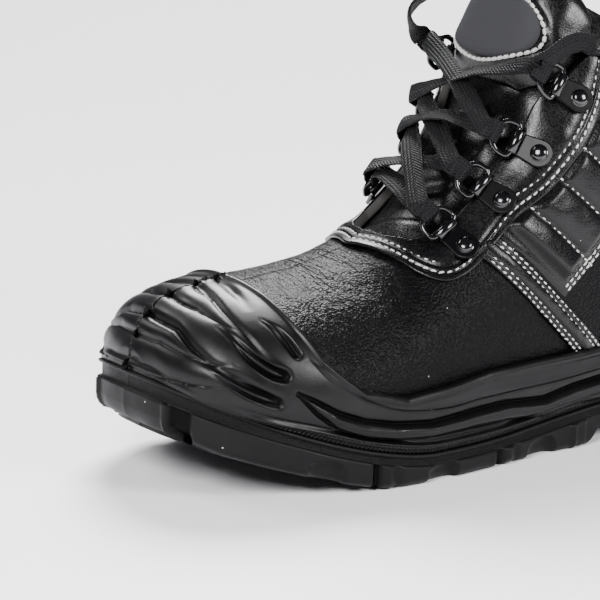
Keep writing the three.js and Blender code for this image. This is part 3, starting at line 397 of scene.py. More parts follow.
def dustOn(tree, shader, colour, spots, amount):
    # sparse pale specks over the base colour, their size in millimetres
    place = addNode(tree, "ShaderNodeTexCoord").outputs["Object"]
    cells = addNode(tree, "ShaderNodeTexVoronoi", {"Scale": 1 / (spots * mm), "Randomness": 1.0}, {"Vector": place})
    pick = addNode(tree, "ShaderNodeTexNoise", {"Scale": 260.0, "Detail": 2.0}, {"Vector": place})
    near = addNode(tree, "ShaderNodeMath", {"operation": "LESS_THAN", 1: 0.1}, {0: cells.outputs["Distance"]})
    tint = addNode(tree, "ShaderNodeSeparateColor", {}, {0: cells.outputs["Color"]})
    few = addNode(tree, "ShaderNodeMath", {"operation": "GREATER_THAN", 1: 1 - amount}, {0: tint.outputs[0]})
    patchy = addNode(tree, "ShaderNodeMath", {"operation": "GREATER_THAN", 1: 0.5}, {0: pick.outputs[0]})
    both = addNode(tree, "ShaderNodeMath", {"operation": "MULTIPLY"}, {0: near.outputs[0], 1: few.outputs[0]})
    mask = addNode(tree, "ShaderNodeMath", {"operation": "MULTIPLY"}, {0: both.outputs[0], 1: patchy.outputs[0]})
    mix = addNode(tree, "ShaderNodeMix", {"data_type": "RGBA", 6: linear(colour), 7: linear("#b9b7b2")},
        {0: mask.outputs[0]})
    tree.links.new(mix.outputs[2], shader.inputs["Base Color"])
    return mix


def bumpOn(tree, shader, layers, sockets=("Normal",)):
    # layers of bump, each a height output with its depth in millimetres and its strength
    last = None
    for height, depth, strength in layers:
        links = {"Height": height}
        if last is not None:
            links["Normal"] = last.outputs[0]
        last = addNode(tree, "ShaderNodeBump", {"Distance": depth * mm, "Strength": strength}, links)
    for socket in sockets:
        tree.links.new(last.outputs[0], shader.inputs[socket])


def noiseOf(tree, size, detail=3.0, rough=0.55, stretch=None):
    place = addNode(tree, "ShaderNodeTexCoord").outputs["Object"]
    if stretch:
        place = addNode(tree, "ShaderNodeMapping", {"Scale": stretch}, {0: place}).outputs[0]
    return addNode(tree, "ShaderNodeTexNoise", {"Scale": 1 / (size * mm), "Detail": detail, "Roughness": rough},
        {"Vector": place})


def variedRoughness(tree, shader, size, low, high):
    patches = noiseOf(tree, size, 4.0)
    spread = addNode(tree, "ShaderNodeMapRange", {1: 0.3, 2: 0.7, 3: low, 4: high}, {0: patches.outputs[0]})
    tree.links.new(spread.outputs[0], shader.inputs["Roughness"])


# moulded polyurethane of the guard and the midsole: satin, slightly uneven skin
moulded, tree, shader = newMaterial("satin moulded polyurethane", "#070708", 0.4, 1.5, gloss=0.22)
dustOn(tree, shader, "#070708", 2.4, 0.05)
variedRoughness(tree, shader, 9.0, 0.3, 0.44)
knurlMark = addNode(tree, "ShaderNodeAttribute", {"attribute_name": "knurl"})
along = addNode(tree, "ShaderNodeUVMap").outputs[0]
teeth = addNode(tree, "ShaderNodeTexWave",
    {"Scale": 1 / (0.9 * mm) / 20 * math.pi, "Distortion": 0.6, "Detail": 1.0}, {0: along})
knurlHeight = addNode(tree, "ShaderNodeMath", {"operation": "MULTIPLY"},
    {0: teeth.outputs[1], 1: knurlMark.outputs["Fac"]})
fine = noiseOf(tree, 0.7, 4.0)
broad = noiseOf(tree, 7.0, 2.0)
bumpOn(tree, shader, [(broad.outputs[0], 0.25, 0.3), (fine.outputs[0], 0.05, 0.6),
    (knurlHeight.outputs[0], 0.5, 0.9)])

# painted shade: the specular level drops almost to nothing where the mesh is marked in its grooves, slots and seam,
# standing in for the shade in these recesses
recessShadeMark = addNode(tree, "ShaderNodeAttribute", {"attribute_name": "recessShade"})
recessShadeGloss = addNode(tree, "ShaderNodeMapRange", {1: 0.0, 2: 1.0, 3: 0.22, 4: 0.02}, {0: recessShadeMark.outputs["Fac"]})
tree.links.new(recessShadeGloss.outputs[0], shader.inputs["Specular IOR Level"])

# solid rubber-like outsole: a little duller, with a grainy strip under the rim
outsoleRubber, tree, shader = newMaterial("matt moulded outsole", "#0a0a0b", 0.5, 1.5, gloss=0.16)
dustOn(tree, shader, "#0a0a0b", 2.8, 0.05)
variedRoughness(tree, shader, 12.0, 0.42, 0.6)
knurlMark = addNode(tree, "ShaderNodeAttribute", {"attribute_name": "knurl"})
# painted shade: the specular level drops where the mesh is marked in its recesses, standing in for the shade there
recessShadeMark = addNode(tree, "ShaderNodeAttribute", {"attribute_name": "recessShade"})
recessShadeGloss = addNode(tree, "ShaderNodeMapRange", {1: 0.0, 2: 1.0, 3: 0.16, 4: 0.01}, {0: recessShadeMark.outputs["Fac"]})
tree.links.new(recessShadeGloss.outputs[0], shader.inputs["Specular IOR Level"])
grit = noiseOf(tree, 0.45, 5.0)
gritHeight = addNode(tree, "ShaderNodeMath", {"operation": "MULTIPLY"},
    {0: grit.outputs[0], 1: knurlMark.outputs["Fac"]})
fine = noiseOf(tree, 0.9, 4.0)
bumpOn(tree, shader, [(fine.outputs[0], 0.08, 0.6), (gritHeight.outputs[0], 0.6, 0.9)])


def leather(name, colour, roughness, pebble, depth, crease, creaseDepth, coat, dust, gloss):
    # grain from cells with soft valleys, broken up by noise, over broad soft unevenness
    material, tree, shader = newMaterial(name, colour, roughness, 1.5, coat, 0.22, gloss)
    if dust:
        dustOn(tree, shader, colour, 2.6, dust)
    place = addNode(tree, "ShaderNodeTexCoord").outputs["Object"]
    warp = addNode(tree, "ShaderNodeTexNoise", {"Scale": 1 / (2.6 * mm), "Detail": 3.0}, {"Vector": place})
    shift = addNode(tree, "ShaderNodeVectorMath", {"operation": "SCALE", "Scale": 1.5 * mm}, {0: warp.outputs[1]})
    bent = addNode(tree, "ShaderNodeVectorMath", {"operation": "ADD"}, {0: place, 1: shift.outputs[0]})
    cells = addNode(tree, "ShaderNodeTexVoronoi",
        {"feature": "SMOOTH_F1", "Scale": 1 / (pebble * mm), "Smoothness": 0.35}, {"Vector": bent.outputs[0]})
    grainHeight = addNode(tree, "ShaderNodeMapRange", {1: 0.75, 2: 0.1, 3: 0.0, 4: 1.0}, {0: cells.outputs[0]})
    folds = addNode(tree, "ShaderNodeTexNoise", {"Scale": 1 / (crease * mm), "Detail": 4.0, "Roughness": 0.6},
        {"Vector": place})
    pores = addNode(tree, "ShaderNodeTexNoise", {"Scale": 1 / (0.35 * mm), "Detail": 2.0}, {"Vector": place})
    # fine creases that run across the foot, where the mesh is marked for them
    mark = addNode(tree, "ShaderNodeAttribute", {"attribute_name": "crease"})
    lines = noiseOf(tree, 1.7, 3.0, 0.5, (1.0, 0.2, 0.9))
    lineHeight = addNode(tree, "ShaderNodeMath", {"operation": "MULTIPLY"},
        {0: lines.outputs[0], 1: mark.outputs["Fac"]})
    bumpOn(tree, shader, [(folds.outputs[0], creaseDepth, 0.5), (lineHeight.outputs[0], 1.3, 0.9),
                          (grainHeight.outputs[0], depth, 0.9), (pores.outputs[0], 0.04, 0.5)])
    worn = addNode(tree, "ShaderNodeMapRange", {1: 0.2, 2: 0.8, 3: roughness + 0.1, 4: roughness - 0.06},
        {0: grainHeight.outputs[0]})
    tree.links.new(worn.outputs[0], shader.inputs["Roughness"])
    return material


grainLeather = leather("black pebbled leather, satin", "#060607", 0.36, 1.0, 0.22, 9.0, 0.2, 0.0, 0.03, 0.075)
smoothLeather = leather("black smooth leather, polished", "#050506", 0.25, 0.8, 0.03, 11.0, 0.35, 0.1, 0.0, 0.26)
quiltLeather = leather("black smooth padded leather", "#060607", 0.28, 0.9, 0.05, 9.0, 0.4, 0.08, 0.02, 0.22)

lining, tree, shader = newMaterial("grey-brown brushed lining", "#4b443e", 0.95, 1.45)
shader.inputs["Sheen Weight"].default_value = 0.4
fuzz = noiseOf(tree, 0.5, 5.0, 0.7)
bumpOn(tree, shader, [(fuzz.outputs[0], 0.5, 0.8)])

insoleCloth, tree, shader = newMaterial("dark felt insole", "#2c2b2b", 0.95, 1.45)
fuzz = noiseOf(tree, 0.6, 4.0, 0.7)
bumpOn(tree, shader, [(fuzz.outputs[0], 0.3, 0.8)])

thread, tree, shader = newMaterial("off-white twisted thread", "#c9c8c4", 0.6, 1.5)
tree.links.new(addNode(tree, "ShaderNodeMix", {"data_type": "RGBA", 6: linear("#d8d7d3"), 7: linear("#8d8c89")},
                       {0: noiseOf(tree, 4.0, 3.0).outputs[0]}).outputs[2], shader.inputs["Base Color"])

metal, tree, shader = newMaterial("black gloss coated steel", "#040405", 0.16, 1.5, 0.3, 0.08, 0.5)
wear = noiseOf(tree, 3.0, 3.0)
bumpOn(tree, shader, [(wear.outputs[0], 0.08, 0.5)])

plateMetal, tree, shader = newMaterial("black enamelled plate", "#040405", 0.3, 1.5, gloss=0.12)
bumpOn(tree, shader, [(noiseOf(tree, 4.0, 3.0).outputs[0], 0.1, 0.5)])

# flat braid: slanted strands that meet in chevrons along the middle of the lace
braid, tree, shader = newMaterial("black braided polyester", "#0a0a0b", 0.6, 1.5, gloss=0.16)
uvPlace = addNode(tree, "ShaderNodeSeparateXYZ", {}, {0: addNode(tree, "ShaderNodeUVMap").outputs[0]})
half = addNode(tree, "ShaderNodeMath", {"operation": "ABSOLUTE"}, {0: uvPlace.outputs[0]})
slant = addNode(tree, "ShaderNodeMath", {"operation": "ADD"}, {0: uvPlace.outputs[1], 1: half.outputs[0]})
strand = addNode(tree, "ShaderNodeMath", {"operation": "MULTIPLY", 1: 2 * math.pi / (1.5 * mm)},
    {0: slant.outputs[0]})
wave = addNode(tree, "ShaderNodeMath", {"operation": "SINE"}, {0: strand.outputs[0]})
rows = addNode(tree, "ShaderNodeMath", {"operation": "MULTIPLY", 1: 2 * math.pi / (1.35 * mm)},
    {0: uvPlace.outputs[0]})
rowWave = addNode(tree, "ShaderNodeMath", {"operation": "COSINE"}, {0: rows.outputs[0]})
weave = addNode(tree, "ShaderNodeMath", {"operation": "ADD"}, {0: wave.outputs[0], 1: rowWave.outputs[0]})
bumpOn(tree, shader, [(weave.outputs[0], 0.16, 0.9)])
# painted shade: the base colour follows the weave's height, darker in the valleys between strands and lighter on
# their crests
shade = addNode(tree, "ShaderNodeMapRange", {1: -2.0, 2: 1.5, 3: 0.0, 4: 1.0}, {0: weave.outputs[0]})
tree.links.new(addNode(tree, "ShaderNodeMix", {"data_type": "RGBA", 6: linear("#020203"), 7: linear("#111113")},
                       {0: shade.outputs[0]}).outputs[2], shader.inputs["Base Color"])

# coated cloth of the patch, a fine square weave
patchCloth, tree, shader = newMaterial("matt grey woven patch", "#2e2e31", 0.75, 1.5, gloss=0.2)
checks = addNode(tree, "ShaderNodeTexVoronoi", {"Scale": 1 / (0.7 * mm), "Randomness": 0.15},
    {"Vector": addNode(tree, "ShaderNodeUVMap").outputs[0]})
bumpOn(tree, shader, [(checks.outputs[0], 0.15, 0.7)])

print("materials ready")


# Sole unit: stations round its outline, from the toe tip along the outer side and back
def stationsRound(count, toeCount, gather=0.0):
    dense = np.linspace(0, 1, 1600)
    near = np.linspace(0, 1, toeCount) ** 1.6 * 6.0  # closer stations beside the toe's seam
    steps = np.linspace(0, 1, count // 2 - toeCount + 1)[1:]
    steps = (1 - gather) * steps + gather * steps ** 2
    shares, sides, runs, reaches = [], [], [], []
    start = 0.0
    for side in (1, -1):
        line = outlinePoint(dense, side)
        gone = np.concatenate([[0], np.cumsum(np.linalg.norm(np.diff(line, axis=0), axis=1))])
        reach = np.concatenate([near, 6.0 + (gone[-1] - 6.0) * steps])
        if side < 0:
            reach = reach[::-1][1:-1]
        shares.append(np.interp(reach, gone, dense))
        sides.append(np.full(len(reach), side))
        runs.append(reach if side > 0 else start + gone[-1] - reach)
        reaches.append(reach)
        start = gone[-1]
    return [np.concatenate(part) for part in (shares, sides, runs, reaches)]


def loopPoint(share, side, inset):
    # plan point of each station, with an inset each
    outer = outlinePoint(share, 1, inset)
    inner = outlinePoint(share, -1, inset)
    return np.where((side > 0)[:, None], outer, inner)


guard = {
    "cup": 3.0,
    "rim": 1.6,
    "ribHeight": 2.5,
    "seamDepth": 1.0,
    "knurlWidth": 3.0,
}
# lip of the guard and of the cup: outline x of the station against x, |y| and z of the edge
edgeByX = np.array([0, 3, 21, 52, 92, 128, 152, 175, 195, 217, 236, 248, 262, 279, 290, 297, 302, 305], float)
edgeX = np.array([-1, 1, 21, 52, 92, 128, 152, 175, 195, 217, 236, 246, 252, 256.5, 259, 260.5, 261.2, 261.5])
edgeY = np.array([0, 14, 34, 41, 42, 44, 46, 49, 51, 53, 55, 53, 49.5, 40, 29, 17, 8, 0], float)
edgeZ = np.array([61, 60.8, 57, 48, 40.4, 38.6, 38.2, 37.6, 35.0, 33.7, 38.5, 46, 51.5, 62.5, 69.5, 72.6, 73.8, 74])


def makeMidsole():
    count, toeCount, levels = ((760, 26, 118))
    share, side, run = stationsRound(count, toeCount, 0.42)[:3]
    plan = loopPoint(share, side, guard["rim"])
    base = np.stack([plan[:, 0], plan[:, 1], partingHeight(plan[:, 0]) + boot["fit"]], -1)
    outlineX = loopPoint(share, side, 0.0)[:, 0]
    spine = np.stack([np.clip(outlineX, 45, 262), 0 * outlineX,
                      np.interp(outlineX, [0, 45, 100, 150, 228, 262], [40, 38, 32, 30, 30, 45])], -1)
    edge = np.stack([np.interp(outlineX, edgeByX, edgeX), side * np.interp(outlineX, edgeByX, edgeY),
                     np.interp(outlineX, edgeByX, edgeZ)], -1)
    # round the heel the lip follows the outline itself
    heelWidth = np.interp(21.0, outlineX[side > 0][::-1], np.abs(plan[side > 0][::-1, 1]))
    edge[:, 1] = np.where(outlineX < 21, plan[:, 1] * 34.0 / heelWidth, edge[:, 1])
    toBase = base - spine
    toBase /= np.linalg.norm(toBase, axis=1, keepdims=True)
    toEdge = edge - spine
    toEdge /= np.linalg.norm(toEdge, axis=1, keepdims=True)
    arc = np.arccos(np.clip((toBase * toEdge).sum(1), -1, 1))
    t = np.linspace(0, 1, levels)[:, None]
    ways = (np.sin((1 - t) * arc)[..., None] * toBase + np.sin(t * arc)[..., None] * toEdge) / np.sin(arc)[None,
        :, None]

    # the two forms that the skin runs over: the grown last and the slab of the sole's side
    rows, angles = np.meshgrid(np.linspace(-0.2, 14.5, 260), np.linspace(0, 2 * math.pi, 181), indexing="ij")
    skin = formPoint(rows, angles, guard["cup"])
    cup = BVHTree.FromPolygons(skin.reshape(-1, 3).tolist(), gridFaces(*skin.shape[:2]) + [list(range(0, 181))])
    slabShare, slabSide = stationsRound(360, 10)[:2]
    slabPlan = loopPoint(slabShare, slabSide, 0.0)
    wallShare = slabPlan[:, 0] / boot["length"]
    wall = 0.16 - 0.13 * smoothStep(wallShare, 0.78, 0.95)
    wall = (0.27 + (wall - 0.27) * smoothStep(wallShare, 0.03, 0.32)) * rising
    top = np.minimum(np.interp(slabPlan[:, 0], edgeByX, edgeZ), partingHeight(slabPlan[:, 0]) + wall)
    low = partingHeight(slabPlan[:, 0]) + boot["fit"]
    rings = []
    for inset, up, extra in ((1.6, 0, -4.0), (1.6, 0, 0.0), (0.4, 0, 1.6), (0.4, 0.45, 0), (1.0, 0.62, 0),
        (1.8, 0.75, 0),
                             (3.4, 0.9, 0), (5.5, 0.99, 0), (9.0, 1.05, 0), (16.0, 1.08, 0)):
        ring = loopPoint(slabShare, slabSide, inset)
        rings.append(np.column_stack([ring, low + up * (top - low) + extra]))
    rings = np.array(rings)
    closed = np.concatenate([rings, rings[:, :1]], 1)
    slab = BVHTree.FromPolygons(closed.reshape(-1, 3).tolist(), gridFaces(*closed.shape[:2]))

    reach = np.zeros((levels, len(share), 2))
    for k, tree in enumerate((cup, slab)):
        for i in range(levels):
            for j in range(len(share)):
                way = Vector(ways[i, j])
                start = Vector(spine[j]) + way * 150
                hit = tree.ray_cast(start, -way, 150)
                reach[i, j, k] = 150 - hit[3] if hit[0] is not None else 0
    a, b = reach[..., 0], reach[..., 1]
    soft = 3.0
    blend = np.maximum(soft - np.abs(a - b), 0) / soft
    spot = spine[None] + ways * (np.maximum(a, b) + blend * blend * soft / 4)[..., None]
    spot[0] = base
    normal = gridNormals(spot, True)
    if (normal * ways).sum() < 0:
        normal = -normal

    # relief, from lines placed on the skin; both sides carry the same lines
    x, y, z = spot[..., 0], np.abs(spot[..., 1]), spot[..., 2]
    both = np.stack([x, y, z], -1)
    relief = np.zeros_like(x)
    # painted shade mask: the grooves, claw slots, bar outlines and seam marked here lose their gloss in the material,
    # as if shaded
    dark = np.zeros_like(x)

    # round ribs of the toe between grooves whose tilt falls as they turn to the side
    flat = np.hypot(x - 262, y)
    tilt = np.degrees(np.arctan2(z - 45, flat))
    bearing = np.degrees(np.arctan2(y, np.maximum(x - 262, 1e-3)))
    grooves = np.stack([
        np.full_like(x, -2.0),
        np.interp(bearing, [0, 21, 50], [16, 15.5, 8]),
        np.interp(bearing, [0, 28, 39, 51], [28.6, 23.8, 15, 7.6]),
        np.interp(bearing, [0, 36, 60], [45, 37.5, 26]),
        np.interp(bearing, [0, 43, 57, 67], [64, 50.6, 35, 22.8]),
        np.interp(bearing, [0, 70], [83, 70]),
        np.full_like(x, 97.0),
    ])
    fade = 1 - smoothStep(bearing, 18, 72)
    for k in range(len(grooves) - 1):
        u = (tilt - grooves[k]) / (grooves[k + 1] - grooves[k])
        inside = (u >= 0) & (u <= 1) & (x > 262)
        lift = guard["ribHeight"] * (0.55 if k > 3 else 1.0)
        relief += np.where(inside, lift * (np.sqrt(np.clip(1 - (2 * u - 1) ** 2, 0, 1)) - 0.75) * fade, 0)

    claws = [
        # ridge line of each claw with the groove's half spacing, its depth and its start
        {"line": [(268, 34, 64.5), (265, 38, 61.5), (263.5, 41, 58.5), (261, 45, 53.5)], "gap": 1.6,
            "depth": 2.0, "ridge": 0.8},
        {"line": [(283, 29, 62.5), (280.5, 36, 58), (277.5, 42, 53.5), (272, 47, 49), (267.5, 48, 47)],
        "gap": 1.6, "depth": 2.2, "ridge": 0.8},
        {"line": [(292, 32, 51), (288, 40, 47), (282, 44.5, 43), (276, 47.5, 40), (270, 48.5, 37.5)],
        "gap": 1.5, "depth": 1.5, "ridge": 1.0},
    ]
    for claw in claws:
        gap, where = nearLine(both, splineThrough(claw["line"], 24))
        grows = smoothStep(where, 0.0, 0.75)
        ringGap = np.abs(gap - claw["gap"] * (0.35 + 0.65 * grows))
        cut = ridge(ringGap, 0.8) * (0.15 + 0.85 * grows)
        relief -= claw["depth"] * cut
        relief += claw["ridge"] * ridge(gap, 1.0) * (0.3 + 0.7 * grows)
        dark = np.maximum(dark, cut)
    lines = [
        # long soft grooves that come round from the ribs: points, width, depth at start, middle and end
        {"line": [(275, 0, 72), (277, 14, 70), (278, 25, 66), (276.5, 36, 60.5), (273, 43, 53.5),
            (267, 47.5, 48)], "width": 1.5, "depth": (0.9, 0.9, 0.9)},
        {"line": [(295, 0, 63), (294, 17, 61), (293.5, 27, 56), (290, 36, 51), (284, 42.5, 47.5),
        (277, 46, 42.5), (269.5, 49, 38.7)], "width": 1.5, "depth": (0.9, 0.9, 0.9)},
        {"line": [(266, 0, 73.5), (268, 14, 72), (269, 23, 69), (270.5, 30, 66)], "width": 2.2,
        "depth": (0.8, 1.4, 0.0)},
    ]
    for line in lines:
        gap, where = nearLine(both, splineThrough(line["line"], 30))
        depth = np.interp(where, [0, 0.45, 0.95, 1], list(line["depth"]) + [line["depth"][-1] * 0.6])
        relief -= depth * ridge(gap, line["width"])
        dark = np.maximum(dark, 0.7 * depth / 2 * ridge(gap, line["width"]))

    # long bar of the side: pointed at its front, convex, with an outline groove
    barX = np.array([60, 76, 100, 128, 144, 166, 184, 205, 221, 235, 247, 256, 263], float)
    barLow = np.array([24, 21, 19, 18.3, 16.2, 18, 18.4, 17.8, 18.8, 21, 26, 33, 40.2])
    barHigh = np.array([25, 29, 28, 25.5, 23, 24.8, 24.4, 23.2, 24.8, 27.6, 32, 37, 40.6])
    low, high = np.interp(x, barX, barLow), np.interp(x, barX, barHigh)
    v = np.clip((z - low) / np.maximum(high - low, 0.4), -1, 2)
    inBar = (x > 60) & (x < 263) & (v > 0) & (v < 1)
    ends = smoothStep(x, 60, 84) * (1 - smoothStep(x, 250, 264) * 0.6)
    relief += np.where(inBar, 2.1 * ends * np.sqrt(np.clip(1 - (2 * v - 1) ** 2, 0, 1)), 0)
    slope = np.cos(np.arctan(np.interp(x, barX, np.gradient(barHigh, barX))))
    for edgeHeight, cutDepth in ((high, 1.3), (low, 1.0)):
        gap = np.abs(z - edgeHeight) * slope
        cut = ridge(gap, 0.85) * smoothStep(x, 58, 80) * (1 - smoothStep(x, 262.5, 264.5))
        relief -= cutDepth * cut
        dark = np.maximum(dark, 0.8 * cut)
    relief += 0.5 * ends * ridge((z - high + 2.1) * slope, 0.6) * (x < 250)

    # soft shoulder between the bar and the lip
    shoulder = splineThrough([(256, 49, 52), (249, 52, 45), (240, 54, 38.8), (221, 55, 31.2), (198, 52, 28.6),
                              (180, 50, 29.3), (162, 47, 29.6), (134, 43, 30), (100, 42, 33), (60, 41, 41)], 60)
    gap, where = nearLine(both[..., [0, 2]], shoulder[:, [0, 2]])
    over = np.interp(x, *shoulder[::-1, [0, 2]].T)
    step = 0.8 * np.exp(-np.clip(z - over, 0, None) / 4.0) * (z > over) + 0.8 * ridge(gap, 0.8) * (z <= over)
    relief += step * smoothStep(x, 60, 100) * (1 - smoothStep(x, 250, 260))

    # lip along the leather, thin rim and knurled strip along the parting
    fromEdge = np.linalg.norm(spot - spot[-1][None], axis=-1)
    fromBase = np.linalg.norm(spot - spot[0][None], axis=-1)
    relief += 0.9 * ridge(fromEdge - 1.2, 1.3)
    relief -= 0.45 * ridge(fromBase - guard["knurlWidth"] / 2, guard["knurlWidth"] / 2.6)
    relief += 0.8 * ridge(fromBase - guard["knurlWidth"] - 0.5, 0.6) * (1 - smoothStep(x, 268, 288))
    relief -= 0.7 * ridge(fromBase - guard["knurlWidth"] - 1.9, 0.7) * (1 - smoothStep(x, 268, 288))
    knurl = smoothStep(fromBase, 0.2,
        0.7) * (1 - smoothStep(fromBase, guard["knurlWidth"] - 0.6, guard["knurlWidth"])) * (x < 292)

    # moulding seam over the toe, ragged, and torn open at its upper end
    wander = 0.45 * np.sin(z * 0.9) + 0.3 * np.sin(z * 2.7 + x * 0.8) + 0.2 * np.sin(x * 2.1)
    off = spot[..., 1] - wander
    seam = ridge(off, 0.38) * (x > 258)
    relief -= guard["seamDepth"] * seam
    relief += 0.35 * ridge(off - 0.9, 0.35) * (x > 258) * (0.5 + 0.5 * np.sin(z * 3.1 + x * 1.7))
    torn = smoothStep(x, 261, 264) * (1 - smoothStep(x, 274, 279))
    relief += torn * ridge(off - 0.3, 1.3) * (0.8 + 0.5 * np.sin(x * 2.3) + 0.3 * np.sin(x * 5.1 + 1))
    dark = np.maximum(dark, seam)
    relief += 0.12 * waves(both, 26, 5, 2)
    relief *= smoothStep(fromBase, 0, 0.8)

    skinOut = spot + normal * relief[..., None]
    # turn the two edges in: under the rim to the core, and over the lip down behind the leather
    inwards = -normal[-1]
    upwards = spot[-1] - spot[-4]
    upwards /= np.maximum(np.linalg.norm(upwards, axis=1, keepdims=True), 1e-6)
    lip = [skinOut[-1] + inwards * d + upwards * r for d, r in ((0.5, 0.5), (1.3, 0.75), (2.4, 0.6), (3.6, -0.2))]
    under = []
    for inset, lift in ((9.0, 0.1), (4.0, 0.05), (2.1, 0.0)):
        ring = loopPoint(share, side, inset)
        under.append(np.column_stack([ring, partingHeight(ring[:, 0]) + boot["fit"] + lift]))
    points = np.concatenate([np.array(under), skinOut, np.array(lip)])
    across = np.tile(run, (len(points), 1))
    down = np.concatenate([[-9, -4, -2], fromBase.mean(1) * 0 + np.linspace(0, 50, levels), [51, 52, 53, 54]])
    uv = np.stack([np.concatenate([across, np.full((len(points), 1), run[-1] + 1.0)], 1),
                   np.tile(down[:, None], (1, len(run) + 1))], -1) * mm
    spread = lambda mark, fill=0.0: np.concatenate([np.full((3, len(run)), fill), mark, np.full((4, len(run)), fill)])
    return sheetPiece("midsole", points, uv, True, lambda p: (p.x * 0.2, p.y, p.z - 0.03), [moulded],
                      {"knurl": spread(knurl), "recessShade": spread(dark)})


def gridFaces(rows, columns):
    index = np.arange(rows * columns).reshape(rows, columns)
    return np.stack([index[:-1, :-1], index[:-1, 1:], index[1:, 1:], index[1:, :-1]], -1).reshape(-1, 4).tolist()


tread = {
    "depth": 5.0,
    "groove": 5.0,
    "strip": 4.0,
    "stripAtToe": 6.0,
    "corner": 3.0,
    "toeCorner": 4.0,
}
# grooves between the lugs: ends as shares of the length and of half the ball width
lugGrooves = [
    (0.955, 0.5, 0.975, 1.15), (0.86, 0.15, 0.885, 0.8), (0.72, 0.15, 0.755, 1.2), (0.63, 0.25, 0.645, 0.8),
    (0.52, 0.15, 0.55, 1.2), (0.45, 0.2, 0.455, 0.62), (0.19, 0.15, 0.205, 1.1), (0.1, 0.15, 0.11, 1.1),
]


def bottomHeight(x):
    start, end = 0.27 * boot["length"], 0.385 * boot["length"]
    hollow = smoothStep(x, start, start + 8.5) * (1 - smoothStep(x, end - 8.5, end))
    return treadHeight(x) + 7 * hollow


